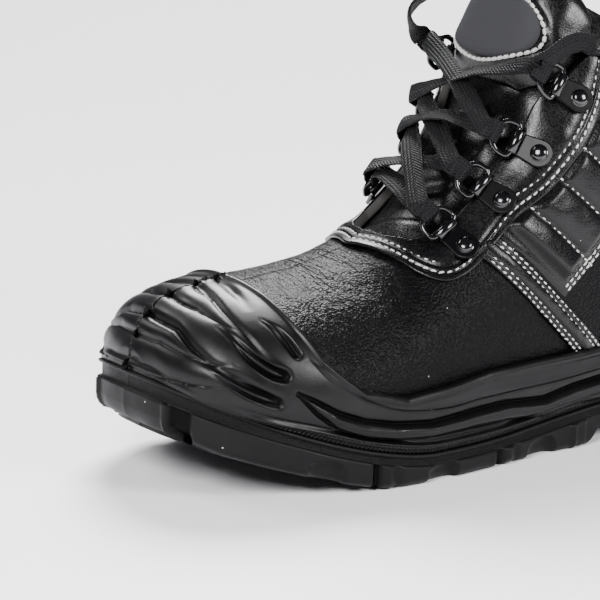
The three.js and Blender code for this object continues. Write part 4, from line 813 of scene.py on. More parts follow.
def makeOutsole():
    count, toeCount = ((840, 10))
    share, side, run, fromToe = stationsRound(count, toeCount)
    edge = loopPoint(share, side, 0.0)
    parting = partingHeight(edge[:, 0])
    floor = bottomHeight(edge[:, 0])
    strip = np.interp(edge[:, 0], [260, 300], [tread["strip"], tread["stripAtToe"]])
    rows = []
    knurl = []

    def ring(inset, height, rough=0.0):
        rows.append(np.column_stack([loopPoint(share, side, inset + np.zeros(len(share))), height]))
        knurl.append(np.full(len(share), rough))

    inToe = smoothStep(edge[:, 0], 284, 292)
    for inset, down in ((12, 0.1), (5, 0.0), (1.7, 0.0), (1.2, 0.05), (0.75, 0.25), (0.6, 0.6), (0.6, 1.0),
        (0.8, 1.3), (1.4, 1.5)):
        ring(inset - 0.25 * inToe, parting - down)
    for k in range(6):
        ring(1.75 + 0.1 * (k > 0), parting - 1.7 - (strip - 1.7) * k / 5, 1.0)
    ring(1.5, parting - strip - 0.25, 0.4)
    ring(0.5, parting - strip - 0.5)
    ring(0.1, parting - strip - 0.9)
    wallRows = 22
    top = parting - strip - 1.3
    corner = tread["corner"] + tread["toeCorner"] * smoothStep(edge[:, 0], 286, 301)
    foot = floor + corner
    for k in range(wallRows):
        ring(0.0, top + (foot - top) * k / (wallRows - 1))
    for k in range(1, 6):
        turn = math.pi / 2 * k / 5
        ring(corner * (1 - math.cos(turn)), foot - corner * math.sin(turn))
    points = np.array(rows)
    wallStart = 9 + 6 + 3

    # side relief: the toe's fin and flush panel, scoops, slots with a rib, and the last rib
    normalIn = loopPoint(share, side, 1.0) - edge
    x, z = points[..., 0], points[..., 2]
    push = np.zeros_like(x)
    body = np.zeros_like(x)
    body[wallStart - 1:] = 1
    depthUp = z - np.asarray(floor)[None]
    length = fromToe[None] + 0 * x
    at = lambda where: np.interp(where, edge[side > 0][::-1, 0], run[side > 0][::-1])
    fin, panel = at(301.0), (at(300.3), at(295.6))
    push -= 1.5 * ridge(length - fin, 0.9) * body * (depthUp > 0.5)
    push += 1.8 * (smoothStep(length, fin + 1.0, fin + 1.4) - smoothStep(length, panel[1] - 0.3,
        panel[1] + 0.2)) * body
    push += 4.5 * (smoothStep(length, fin + 1.2, fin + 1.7) - smoothStep(length, panel[1] - 0.5,
        panel[1])) * (1 - smoothStep(depthUp, 3.8, 4.3)) * body
    scooped = np.zeros_like(x)
    for centre, height in ((246.5, 4.0), (194.5, 3.4), (141.0, 3.6)):
        # a thumb-shaped scoop, deep at its rear end and running out to the front
        dx, dz = (at(centre) - length), depthUp - height
        back = np.where(dx < 0, dx / 4.2, dx / 11.0)
        inside = np.clip(1 - back ** 2 - (np.clip(dz, 0, None) / 4.2) ** 2, 0, 1)
        scooped += 2.8 * np.sqrt(inside) * body * (depthUp > -1)
    for centre in (229.0, 167.5, 62.0, 33.0):
        here = length - at(centre)
        slot = smoothStep(here, -2.0, -1.3) * (1 - smoothStep(here, 1.3, 2.0))
        push += 3.6 * slot * body
        push -= 2.6 * ridge(here - 0.2, 0.55) * body
        boss = ridge(here - 5.0, 2.4) * smoothStep(depthUp, 0.5, 3)
        push -= 0.7 * boss * body
        push += 0.9 * ridge(here - 9.0, 1.6) * body
    push -= 1.2 * ridge(length - at(126.5), 1.2) * body
    waist = (x < 120) & (x > 78)
    push += np.where(waist, 0.6, 0) * body
    points[..., :2] += normalIn[None] * (push + scooped)[..., None]
    # painted shade mask: the recessed toe panel and the slots, whose gloss the material takes away as if shaded
    recessShade = smoothStep(push, 0.5, 2.2)

    # underside: rows that close in on the middle line, with the grooves of the tread
    last = points[-1]
    middle = np.column_stack([np.clip(edge[:, 0], 14, 288), 0 * edge[:, 0], 0 * edge[:, 0]])
    inRows = 34
    under = []
    for k in range(1, inRows + 1):
        t = k / inRows
        under.append(last * (1 - t) + middle * t)
    under = np.array(under)
    ux, uy = under[..., 0], np.abs(under[..., 1])
    flat = np.stack([ux, uy], -1)
    cut = np.zeros_like(ux)
    for a, b, c, d in lugGrooves:
        line = np.array([(a * boot["length"], b * 55), (c * boot["length"], d * 55)])
        gap, _ = nearLine(flat, line)
        cut = np.maximum(cut, 1 - smoothStep(gap, tread["groove"] / 2 - 0.5, tread["groove"] / 2 + 0.5))
    for a, b in ((0.42, 0.88), (0.05, 0.24)):
        gap, _ = nearLine(flat, np.array([(a * boot["length"], 0), (b * boot["length"], 0)]))
        cut = np.maximum(cut, 1 - smoothStep(gap, tread["groove"] / 2 - 0.5, tread["groove"] / 2 + 0.5))
    edgeFade = np.ones_like(ux)
    edgeFade[:1] = 0
    under[..., 2] = bottomHeight(ux) + tread["depth"] * cut * edgeFade
    points = np.concatenate([points, under])
    rough = np.concatenate([np.array(knurl), np.zeros_like(ux)])
    height = np.concatenate([[0], np.linalg.norm(np.diff(points, axis=0), axis=2).mean(1).cumsum()])
    uv = np.stack(np.broadcast_arrays(np.append(run, run[-1] + 1)[None, :], height[:, None]), -1) * mm
    return sheetPiece("outsole", points, uv, True, lambda p: (p.x * 0.2, p.y, p.z - 0.02), [outsoleRubber],
                      {"knurl": rough, "recessShade": np.concatenate([recessShade, np.zeros_like(ux)])})


makeMidsole()
makeOutsole()
print("sole unit ready")


# Upper: lines of the throat, the facing, the ankle pad and the collar on the last
throat = {
    "front": 200.0,
    "outer": 26.0,
    "inner": 21.0,
    "opens": 8.0,
    "back": np.array([0, 0.006, 0.022, 0.05, 0.08, 0.14, 0.18, 0.22, 0.28, 0.46]) * boot["length"],
    "share": np.array([0, 0.4, 0.75, 0.95, 1, 1, 1, 1, 1, 1]),
    "open": np.array([0, 0, 0, 0, 0, 0.1, 0.4, 0.85, 1, 1]),
}
collarTable = np.array([(-0.1, 0.985), (0.05, 0.975), (0.15, 0.935), (0.25, 0.925), (0.33, 0.955), (0.4, 1.0),
    (0.5, 1.06)])


def collarHeight(x):
    return boot["footbed"] + rising * np.interp(x / boot["length"], collarTable[:, 0], collarTable[:, 1])


def throatHalf(x, side):
    gone = throat["front"] - np.asarray(x, float)
    half = throat["outer"] if side > 0 else throat["inner"]
    width = half * np.interp(gone, throat["back"], throat["share"]) + throat["opens"] * np.interp(gone,
        throat["back"], throat["open"])
    return np.where(gone < 0, 0.0, width)


def throatAngles(rows, side, wider=0.0, grow=0.0):
    # how far round from the top the throat's edge lies at each row
    turn = np.linspace(0, 1.5, 420)
    spots = formPoint(rows[:, None], math.pi - side * turn[None], grow)
    past = np.abs(spots[..., 1]) >= throatHalf(spots[..., 0], side) + wider * (spots[..., 0] < throat["front"])
    past |= spots[..., 0] >= throat["front"] + 0.01
    first = past.argmax(1)
    return turn[first]


def topRow(angle, drop=0.0, grow=0.0):
    # row at which the collar's line is reached, for one angle each
    rows = np.linspace(9.5, 17, 700)
    spots = formPoint(rows[:, None], np.asarray(angle)[None], grow)
    past = spots[..., 2] >= collarHeight(spots[..., 0]) - drop
    return rows[np.where(past.any(0), past.argmax(0), len(rows) - 1)]


def makeUpper():
    rowCount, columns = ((190, 210))
    tableRows = np.concatenate([np.linspace(0, 7.0, 60), np.linspace(7.02, 8.2, 160), np.linspace(8.25, 17, 180)])
    edges = [throatAngles(tableRows, side, 0.9) for side in (1, -1)]
    c = np.linspace(0, 1, columns)

    def angleAt(row):
        first = math.pi - np.interp(row, tableRows, edges[0])
        last = -(math.pi - np.interp(row, tableRows, edges[1]))
        return first + (last - first) * c

    rows = np.linspace(9.5, 17, 500)
    angles = np.array([angleAt(row) for row in rows])
    spots = formPoint(rows[:, None], angles)
    past = spots[..., 2] >= collarHeight(spots[..., 0]) - 2.0
    top = rows[past.argmax(0)]
    v = np.linspace(0, 1, rowCount)
    rowGrid = 2.2 + (top[None] - 2.2) * v[:, None]
    angleGrid = np.array([[math.pi - np.interp(r, tableRows, edges[0]) for r in line] for line in rowGrid])
    lastGrid = np.array([[-(math.pi - np.interp(r, tableRows, edges[1])) for r in line] for line in rowGrid])
    angleGrid = angleGrid + (lastGrid - angleGrid) * c[None]
    base = formPoint(rowGrid, angleGrid)
    out = formNormal(rowGrid, angleGrid)
    if (out[..., 2] * (base[..., 2] - 60)).sum() < 0:
        out = -out
    x, z = base[..., 0], base[..., 2]
    relief = 0.35 * waves(base, 34, 11, 2) + 0.12 * waves(base, 9, 12, 2)
    # soft troughs across the vamp behind the guard and in front of the facing
    for line, depth, width in (
        ([(236, -30, 74), (233, 0, 76), (232, 22, 72), (231, 38, 62)], 0.5, 3.0),
        ([(220, -28, 76), (219, 0, 78), (219, 20, 74), (222, 36, 66)], 0.6, 2.6),
        ([(214, 14, 77), (209, 28, 72), (207, 40, 62), (208, 47, 50)], 0.7, 2.6),
        ([(188, 42, 66), (190, 47, 55), (194, 49, 46)], 0.7, 3.0),
        ([(176, 45, 64), (178, 48, 55), (176, 50, 46)], 0.6, 2.4),
    ):
        gap, where = nearLine(base, splineThrough(line, 20))
        relief -= depth * ridge(gap, width) * np.sin(np.clip(where, 0.05, 0.95) * math.pi)
    points = base + out * relief[..., None]
    creased = smoothStep(x, 196, 214) * (1 - smoothStep(x, 246, 262)) * smoothStep(z, 52, 66)
    marks = {"crease": creased}
    piece = sheetPiece("upper", points, None, False, lambda p: (p.x * 0.2, p.y, p.z - 0.06),
        [grainLeather, lining], marks)
    thicken(piece, boot["wall"] - 0.2, -1.0, 1, 0)
    return piece


def evenly(row, angle, count, grow=0.0):
    # the same line on the last, with its points evenly spaced
    spots = formPoint(row, angle, grow)
    gone = np.concatenate([[0], np.cumsum(np.linalg.norm(np.diff(spots, axis=0), axis=1))])
    want = np.linspace(0, gone[-1], count)
    return np.interp(want, gone, row), np.interp(want, gone, angle)


def throatPath(side, count, wider=0.0):
    # the throat's edge on one side, from its front middle to the collar
    rows = np.concatenate([np.linspace(6.9, 8.2, 1300), np.linspace(8.21, 16.5, 500)])
    turn = throatAngles(rows, side, wider)
    begin = max(int((turn > 0.004).argmax()) - 1, 0)
    rows, turn = rows[begin:], turn[begin:]
    turn[0] = 0
    angle = math.pi - side * turn
    spots = formPoint(rows, angle)
    end = int((spots[:, 2] >= collarHeight(spots[:, 0])).argmax())
    return evenly(rows[:end], angle[:end], count)


facingShares = [(0.665, 0.435), (0.635, 0.4), (0.61, 0.398), (0.58, 0.43), (0.55, 0.485), (0.514, 0.555),
    (0.46, 0.64), (0.393, 0.82), (0.35, 1.1)]


def facingPath(side, count, inset=0.0):
    # the facing's outer edge on one side, from the middle of its front to the collar
    line = np.array(sideLine(facingShares, 60))
    if inset:
        way = np.gradient(line, axis=0)
        way /= np.linalg.norm(way, axis=1, keepdims=True)
        line = line + np.stack([way[:, 1], -way[:, 0]], -1) * inset
    row, angle = findOnForm(line, side)
    if side < 0:
        angle = angle + 2 * math.pi
    frontRow, _ = findOnForm([(208.5 - inset, 0.0)], side, (0, 1))
    row = np.concatenate([frontRow, row[2:]])
    angle = np.concatenate([[math.pi], angle[2:]])
    t = np.concatenate([[0], np.cumsum(np.hypot(np.diff(row) * 20, np.diff(angle) * 40))])
    dense = np.linspace(0, t[-1], 400)
    # a smooth start across the middle
    row = np.interp(dense, t, row)
    angle = np.interp(dense, t, angle)
    kernel = np.hanning(15) / np.hanning(15).sum()
    mirrorRow = np.concatenate([row[7:0:-1], row, np.full(7, row[-1])])
    mirrorAngle = np.concatenate([2 * math.pi - angle[7:0:-1], angle, np.full(7, angle[-1])])
    row = np.convolve(mirrorRow, kernel, "valid")
    angle = np.convolve(mirrorAngle, kernel, "valid")
    spots = formPoint(row, angle)
    past = spots[:, 2] >= collarHeight(spots[:, 0])
    end = int(past.argmax()) if past.any() else len(row)
    return evenly(row[:end], angle[:end], count)


def makeFacing():
    lengthCount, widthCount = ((130, 44))
    rowT, angleT, rowF, angleF = [], [], [], []
    for side in (-1, 1):
        a = throatPath(side, lengthCount)
        b = facingPath(side, lengthCount)
        for store, value in ((rowT, a[0]), (angleT, a[1]), (rowF, b[0]), (angleF, b[1])):
            store.append(value[::-1] if side < 0 else value[1:])
    rowT, angleT, rowF, angleF = (np.concatenate(part) for part in (rowT, angleT, rowF, angleF))
    u = np.linspace(0, 1, widthCount)[:, None]
    row = rowF[None] * (1 - u) + rowT[None] * u
    angle = angleF[None] * (1 - u) + angleT[None] * u
    top = boot["fit"] + boot["overlay"]
    base = formPoint(row, angle, top)
    out = formNormal(row, angle, top)
    if (out[..., 2] * (base[..., 2] - 60)).sum() < 0:
        out = -out
    fromF = np.linalg.norm(base - base[0][None], axis=-1)
    fromT = np.linalg.norm(base - base[-1][None], axis=-1)
    relief = 0.25 * waves(base, 24, 21, 2) + 0.05 * waves(base, 9, 22, 2)
    relief *= smoothStep(fromT, 0, 5)
    relief -= 0.35 * ridge(fromF - 2.6, 0.8) + 0.35 * ridge(fromF - 5.4, 0.8)
    relief += 0.25 * ridge(fromF - 4.0, 0.8) + 0.5 * ridge(fromF - 9.5, 3.4)
    # folds that run from the rings to the facing's front corner, and across between the rings
    for line, depth, width in (
        ([(196, 12, 79), (191, 20, 79), (186, 28, 77), (181, 34, 76)], 0.9, 1.8),
        ([(188, 26, 81), (182, 31, 82), (176, 35, 81), (170, 38, 80)], 0.9, 1.8),
        ([(178, 27, 88), (173, 32, 86), (168, 37, 82)], 0.8, 1.6),
        ([(166, 28, 98), (161, 33, 96), (157, 38, 92)], 0.8, 1.6),
        ([(152, 29, 112), (148, 34, 109), (144, 39, 104)], 0.8, 1.8),
        ([(142, 31, 127), (137, 36, 124), (131, 40, 118)], 0.8, 1.8),
        ([(137, 33, 141), (131, 37, 138), (125, 39, 133)], 0.7, 1.8),
    ):
        for side in (1, -1):
            curve = splineThrough(line, 16) * (1, side, 1)
            gap, where = nearLine(base, curve)
            relief -= depth * ridge(gap, width) * np.sin(np.clip(where, 0.08, 0.92) * math.pi)
            relief += 0.5 * depth * ridge(gap - 2.6, 1.4) * np.sin(np.clip(where, 0.08, 0.92) * math.pi)
    skin = base + out * relief[..., None]
    # turned-down outer edge, then the thick cut edge of the throat and the underside behind it
    first = [formPoint(row[0], angle[0], g) - towards(base[0], base[1]) * d for g,
        d in ((0.15, -0.2), (0.5, 0.15), (1.2, 0.25))]
    edgeWay = towards(base[-1], base[-2])
    last = [formPoint(row[-1], angle[-1], g) - edgeWay * d for g,
        d in ((1.6, 0.35), (1.0, 0.55), (0.2, 0.6), (-1.2, 0.6), (-2.4, 0.5), (-3.0, 0.1))]
    back = [formPoint(row[-1], angle[-1], -3.1) + edgeWay * d for d in (1.5, 4.0, 8.0)]
    points = np.concatenate([np.array(first), skin, np.array(last), np.array(back)])
    count = len(points)
    cutRows = (count - 8, count - 3)
    piece = sheetPiece("facing", points, None, False, lambda p: (0.3 + p.x * 0.2, p.y * 0.2, p.z),
        [smoothLeather, cutEdge], None,
                       lambda i, j: 1 if cutRows[0] <= i < cutRows[1] - 1 else 0)
    return piece


def towards(a, b):
    way = b - a
    return way / np.maximum(np.linalg.norm(way, axis=-1, keepdims=True), 1e-6)


bandShape = {"from": (171.1, 84.6), "to": (115.9, 34.0), "width": 10.8}
padShares = [(0.449, 0.325), (0.42, 0.38), (0.385, 0.45), (0.32, 0.59), (0.23, 0.69), (0.12, 0.72), (0.0, 0.72)]


def makeBand(side, name):
    alongCount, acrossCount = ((90, 34))
    start, end = np.array(bandShape["from"]), np.array(bandShape["to"])
    way = (end - start) / np.linalg.norm(end - start)
    across = np.array([-way[1], way[0]])
    s = np.linspace(0, 1, alongCount)[:, None, None]
    w = np.linspace(-0.5, 0.5, acrossCount)[None, :, None] * bandShape["width"]
    plan = start + (end - start) * s + across * w
    # the front end follows the facing's edge, the rear end the cup's lip
    flat = plan.reshape(-1, 2)
    row, angle = findOnForm(flat, side)
    row, angle = row.reshape(plan.shape[:2]), angle.reshape(plan.shape[:2])
    w = w[..., 0] + 0 * row
    half = bandShape["width"] / 2
    profile = 1.45 * smoothStep(half - np.abs(w), 0.0, 0.7)
    relief = 0.3 + profile + 0.55 * ridge(w, 2.0)
    for line in (-4.3, -2.5, 2.5, 4.3):
        relief -= 0.4 * ridge(w - line, 0.55)
    base = formPoint(row, angle, 0.0)
    out = formNormal(row, angle, 0.0)
    if (out[..., 1].sum() * side) < 0:
        out = -out
    relief += 0.12 * waves(base, 7, 31, 2)
    piece = sheetPiece(name, base + out * relief[..., None], None, False, lambda p: (0, side, 0), [quiltLeather])
    thicken(piece, 1.0)
    return piece


quiltLines = [
    # channels of the quilt: front upper end and rear lower end in the side view
    ((154, 99), (124, 73)), ((139.5, 108), (117, 89)), ((131, 121), (104, 98)), ((124, 135), (92, 108)),
        ((117, 149), (76, 115)),
    ((95, 150), (60, 119)),
]


def padBoundary(side, count):
    # corner line round the pad's lower and upper edge, from the facing to the middle of the heel
    width = bandShape["width"] / 2 + boot["fit"]
    start = np.array(bandShape["from"])
    way = np.array(bandShape["to"]) - start
    way = way / np.linalg.norm(way)
    across = np.array([-way[1], way[0]])
    if across[1] < 0:
        across = -across
    bandRear = start + across * width
    corner = np.array((padShares[0][0] * boot["length"], boot["footbed"] + padShares[0][1] * rising))
    front = bandRear + way * 1.0
    lowLine = np.concatenate([front + (corner - front) * np.linspace(0, 1, 14)[:, None],
                              sideLine(padShares, 60)[1:]])
    lowLine = lowLine[lowLine[:, 0] > 12]
    row, angle = findOnForm(lowLine, side)
    row = np.append(row, row[-1] + 0.02)
    angle = np.append(angle, 0.0)
    low = evenly(row, angle, count)
    faceRow, faceAngle = facingPath(side, 200)
    if side < 0:
        faceAngle = faceAngle - 2 * math.pi
    spots = formPoint(faceRow, faceAngle)
    begin = int(np.argmin(np.linalg.norm(spots[:, [0, 2]] - lowLine[0], axis=1)))
    left = (faceRow[begin:], faceAngle[begin:])
    # the ties above the slanting part end well forward, so that none crosses the lower line
    turning = low[1][int(0.45 * count)] + side * 0.07
    topAngles = np.interp(np.linspace(0, 1, count), [0, 0.46, 1], [left[1][-1], turning, 0.0])
    return low, (topRow(topAngles, 3.0), topAngles), left


def makePad():
    alongCount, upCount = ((170, 92))
    halves = []
    for side in (1, -1):
        low, top, left = padBoundary(side, alongCount)
        leftLine = evenly(np.asarray(left[0]), np.asarray(left[1]), upCount)
        u = np.linspace(0, 1, alongCount)[None]
        v = np.linspace(0, 1, upCount)[:, None]
        grid = []
        for k in (0, 1):
            bottom, upper, start = low[k], top[k], np.array(leftLine[k])
            start = start + (bottom[0] - start[0]) * (1 - v[:, 0]) + (upper[0] - start[-1]) * v[:, 0]
            # straight ties from the lower to the upper line, bent to the facing's edge at the front only
            patch = (1 - v) * bottom[None] + v * upper[None]
            grid.append(patch + (1 - u) ** 4 * (start[:, None] - bottom[0] - (upper[0] - bottom[0]) * v))
        halves.append((grid[0][:, ::-1], grid[1][:, ::-1]) if side < 0 else (grid[0], grid[1]))
    # outer side first, its front edge at the start, round the heel to the inner side
    row = np.concatenate([halves[0][0], halves[1][0][:, 1:]], 1)
    angle = np.concatenate([halves[0][1], halves[1][1][:, 1:]], 1)
    base = formPoint(row, angle)
    out = formNormal(row, angle)
    if (out[:, :20, 1]).sum() < 0:
        out = -out
    fromLow = nearLine(base, base[0, ::2])[0]
    fromFront = np.minimum(nearLine(base, base[::2, 0])[0], nearLine(base, base[::2, -1])[0])
    fromTop = nearLine(base, base[-1, ::2])[0]
    flange = 4.6
    puff = smoothStep(fromLow, flange - 0.4, flange + 3.6) * smoothStep(fromFront, 0.8, 4.6)
    height = 0.75 + 3.3 * puff
    sideways = np.abs(base[..., 1]) > 12
    for a, b in quiltLines:
        gap = nearLine(base[..., [0, 2]], np.array([a, b], float))[0]
        height -= 2.5 * np.where(sideways, np.exp(-np.abs(gap) / 4.6), 0) * puff
        height -= 0.5 * ridge(gap, 0.9) * sideways * puff
    height += puff * (0.25 * waves(base, 15, 41, 2) + 0.04 * waves(base, 6, 42, 2))
    height -= 0.3 * (ridge(fromLow - 1.2, 0.5) + ridge(fromLow - 3.2, 0.5))
    height += 0.9 * smoothStep(fromTop, 16, 2) * puff * 0.6
    height *= smoothStep(fromLow, -0.1, 0.5)
    height *= 0.35 + 0.65 * smoothStep(fromFront, 0.0, 1.6)
    skin = base + out * height[..., None]
    # rolled collar: over the top and down inside, as lining
    topHeight = height[-1]
    climb = towards(skin[-3], skin[-1])
    outward = out[-1]
    centre = base[-1] - outward * 0.6
    radius = topHeight + 0.6
    roll = []
    for k in range(1, 12):
        turn = math.pi * k / 11
        r = radius * (1 - k / 11) + 4.2 * k / 11
        roll.append(centre + outward * (r * math.cos(turn))[:, None] + climb * (4.0 * math.sin(turn)))
    innerRows = []
    for k in range(1, 9):
        innerRows.append(formPoint(row[-1] - 0.11 * k, angle[-1], -4.6 - 0.03 * k))
    points = np.concatenate([skin, np.array(roll), np.array(innerRows)])
    piece = sheetPiece("ankle_pad", points, None, False, lambda p: (p.x + 0.08, p.y, 0), [quiltLeather, lining], None,
                       lambda i, j: 1 if i > upCount + 8 else 0)
    return piece


cutEdge, tree, shader = newMaterial("cut leather edge", "#3a3836", 0.75, 1.45)
fibres = noiseOf(tree, 0.5, 4.0)
bumpOn(tree, shader, [(fibres.outputs[0], 0.2, 0.8)])

makeUpper()
makeFacing()
makeBand(1, "band_outer")
makeBand(-1, "band_inner")
makePad()
print("leather ready")


# Tongue, with its padded top and the bare patch on it
def angleForY(row, y, grow):
    row, y, grow = np.broadcast_arrays(np.asarray(row, float), np.asarray(y, float), np.asarray(grow, float))
    sign = np.where(y < 0, -1.0, 1.0)
    low, high = np.full(y.shape, math.pi / 2), np.full(y.shape, math.pi)
    for _ in range(26):
        middle = (low + high) / 2
        wide = np.abs(formPoint(row, sign * middle, grow)[..., 1]) > np.abs(y)
        low, high = np.where(wide, middle, low), np.where(wide, high, middle)
    return sign * (low + high) / 2


def frontPoint(row, y, grow):
    return formPoint(row, angleForY(row, y, grow), grow)


tongue = {
    "from": 7.15,
    "to": 14.3,
    "thickness": 5.0,
    "under": 3.7,
    "padFrom": 11.0,
    "padTo": 14.75,
    "padThickness": 9.0,
    "padWidth": 59.0,
    "patchWidth": 47.0,
    "patchHeight": 31.0,
    "patchThickness": 1.2,
    "patchMiddle": 12.28,
    "perRow": 13.5,
}


def makeTongue():
    alongCount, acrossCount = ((150, 72))
    rows = np.linspace(tongue["from"], tongue["to"], alongCount)
    middleX = formPoint(rows, math.pi)[:, 0]
    opened = throatHalf(middleX, -1)
    room = columnAt(sectionTable["inner"], rows) * boot["ballWidth"] - tongue["under"] - 1.2 * tongue["thickness"]
    half = np.minimum(np.maximum(opened, throat["inner"] / 2) + 5 + 9, room)
    share = np.linspace(-1, 1, acrossCount)
    y = share[None] * half[:, None]
    free = smoothStep(rows, tongue["padFrom"] - 1.2, tongue["padFrom"] - 0.2)
    bulge = smoothStep(rows, tongue["from"] + 1, tongue["from"] + 2) * (tongue["under"] + 0.5 - 4.6 * free)
    inThroat = smoothStep(opened[:, None] - 1.5 - np.abs(y), 0, 6)
    grow = -tongue["under"] + inThroat * bulge[:, None]
    base = frontPoint(rows[:, None] + 0 * y, y, grow)
    out = gridNormals(base)
    if (out[..., 2].sum()) < 0:
        out = -out
    relief = 0.4 * waves(base, 26, 61, 2) + 0.06 * waves(base, 10, 62, 2)
    for at, depth, width in ((183, 0.9, 2.2), (172, 0.8, 1.8), (163, 1.0, 2.4), (152, 0.8, 2.0), (146, 0.9, 2.0)):
        relief -= depth * ridge(base[..., 0] + 0.25 * base[..., 1] - at, width) * inThroat
    piece = sheetPiece("tongue", base + out * relief[..., None], None, False, lambda p: (0.3, 0, 1),
        [smoothLeather, lining])
    thicken(piece, tongue["thickness"] - 0.8, -1.0, 1, 1)
    return piece


def padOuter(share):
    return tongue["padThickness"] * np.sqrt(np.clip(1 - share ** 4, 0, 1)) + boot["fit"] - 3.5


def makeTonguePad():
    alongCount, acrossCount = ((96, 70))
    t = np.sin(np.linspace(-math.pi / 2, math.pi / 2, alongCount))
    rows = tongue["padFrom"] + (tongue["padTo"] - tongue["padFrom"]) * (t + 1) / 2
    half = tongue["padWidth"] / 2 * (1 - 0.35 * t ** 4)
    crown = np.sqrt(np.clip(1 - t ** 6, 0, 1))
    share = np.sin(np.linspace(-math.pi / 2, math.pi / 2, acrossCount))
    outer = boot["fit"] - 3 + crown[:, None] * (padOuter(share)[None] - boot["fit"] + 3)
    y = share[None] * half[:, None]
    # stitched valley round the patch, and soft dents in the rim
    up = (rows[:, None] - tongue["patchMiddle"]) * tongue["perRow"]
    radial = np.hypot(y / (tongue["patchWidth"] / 2 + 1.6), up / (tongue["patchHeight"] / 2 + 1.6))
    outer = outer - 1.1 * ridge(radial - 1.0, 0.09) * crown[:, None]
    front = frontPoint(rows[:, None] + 0 * y, y, outer)
    front = front + gridOut(front, (0.6, 0, 0.8)) * (0.3 * waves(front, 16, 71, 2) + 0.04 * waves(front, 7, 72,
        2))[..., None] * crown[:, None, None]
    behind = frontPoint(rows[:, None] + 0 * y, y, boot["fit"] - 3.2 + 0 * outer)
    ring = np.concatenate([front, behind[:, ::-1][:, 1:-1]], 1)
    return sheetPiece("tongue_pad", ring, None, True, None, [smoothLeather])


def gridOut(points, way):
    normal = gridNormals(points)
    return normal if (normal * np.array(way)).sum() > 0 else -normal


def makePatch():
    ringCount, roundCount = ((14, 72))
    radius = np.concatenate([np.linspace(0, 0.97, ringCount), [0.99, 1.0, 1.0]])
    lift = np.concatenate([np.full(ringCount, 1.0), [0.85, 0.5, -0.2]]) * tongue["patchThickness"]
    turn = np.linspace(0, 2 * math.pi, roundCount, endpoint=False)
    corner = 2.3
    cosine, sine = np.cos(turn), np.sin(turn)
    shape = (np.abs(cosine) ** corner + np.abs(sine) ** corner) ** (-1 / corner)
    y = radius[:, None] * (cosine * shape)[None] * tongue["patchWidth"] / 2
    share = radius[:, None] * (sine * shape)[None]
    row = tongue["patchMiddle"] + share * 0.5 * tongue["patchHeight"] / tongue["perRow"]
    grow = padOuter(y * 2 / tongue["padWidth"]) + 0.4 + lift[:, None]
    points = frontPoint(row, y, grow)
    uv = np.stack([np.concatenate([y, y[:, :1]], 1),
        np.concatenate([share, share[:, :1]], 1) * tongue["patchHeight"] / 2], -1) * mm
    return sheetPiece("tongue_patch", points, uv, True, lambda p: (0.6, 0, 0.8), [patchCloth])


# Folded clips with their rivets and D-rings, on frames set on the facing
clip = {
    "length": 9.8,
    "width": 11.0,
    "thickness": 1.5,
    "seat": 1.8,
    "wire": 2.2,
    "bar": 13.0,
    "reach": 9.0,
}
lacing = [
    {"outerRow": 8.22, "outerY": 0.33, "innerRow": 8.6, "innerY": 0.275, "lean": 2, "tilt": 14},
    {"outerRow": 9.12, "outerY": 0.325, "innerRow": 9.5, "innerY": 0.275, "lean": 2, "tilt": 16},
    {"outerRow": 10.12, "outerY": 0.338, "innerRow": 10.35, "innerY": 0.3, "lean": 0, "tilt": 18},
    {"outerRow": 11.6, "outerY": 0.35, "innerRow": 11.7, "innerY": 0.34, "lean": 6, "tilt": 22},
]


def clipFrame(index, side):
    row = lacing[index]["outerRow" if side > 0 else "innerRow"]
    width = lacing[index]["outerY" if side > 0 else "innerY"] * boot["ballWidth"]
    grow = 2 * boot["fit"] + boot["overlay"]
    start = float(angleForY(row, side * width, grow)) % (2 * math.pi)
    rivet = formPoint(row, start, grow)
    angle = start
    while np.linalg.norm(formPoint(row, angle, grow) - rivet) < clip["length"] / 2:
        angle += side * 0.005
    point = formPoint(row, angle, grow)
    climb = formPoint(row + 0.02, angle, grow) - formPoint(row - 0.02, angle, grow)
    around = formPoint(row, angle + 0.02, grow) - formPoint(row, angle - 0.02, grow)
    outward = np.cross(climb, around)
    outward /= np.linalg.norm(outward)
    if outward[2] < 0:
        outward = -outward
    inwards = np.cross(outward, climb)
    inwards /= np.linalg.norm(inwards)
    if inwards[1] * side > 0:
        inwards = -inwards
    lean = Matrix.Rotation(side * math.radians(lacing[index]["lean"]), 3, Vector(outward))
    inwards = np.array(lean @ Vector(inwards))
    along = np.cross(outward, inwards)
    return np.column_stack([inwards, along, outward]), point + outward * boot["fit"]


def ringFrame(index, side):
    turn, origin = clipFrame(index, side)
    height = clip["wire"] / 2 + boot["fit"] + clip["seat"] / 2
    tilt = math.radians(lacing[index]["tilt"])
    local = np.array([[math.cos(tilt), 0, -math.sin(tilt)], [0, 1, 0], [math.sin(tilt), 0, math.cos(tilt)]])
    return turn @ local, origin + turn @ np.array([clip["length"] / 2, 0, height])


def bodies(name, grids, materials):
    # closed bodies from rings of points, each ring closed and the two ends capped, or joined up
    bm = bmesh.new()
    for part, (points, joined) in enumerate(grids):
        slot = min(part, len(materials) - 1)
        made = len(bm.faces)
        rings = placed(points)
        verts = [[bm.verts.new(p) for p in ring] for ring in rings]
        count = len(verts)
        for i in range(count if joined else count - 1):
            a, b = verts[i], verts[(i + 1) % count]
            for j in range(len(a)):
                k = (j + 1) % len(a)
                bm.faces.new((a[j], a[k], b[k], b[j]))
        if not joined:
            bm.faces.new(verts[0][::-1])
            bm.faces.new(verts[-1])
        bm.faces.ensure_lookup_table()
        for face in bm.faces[made:]:
            face.material_index = slot
    for face in bm.faces:
        face.smooth = len(face.verts) == 4
    bmesh.ops.recalc_face_normals(bm, faces=bm.faces)
    return finishMesh(name, bm, materials)


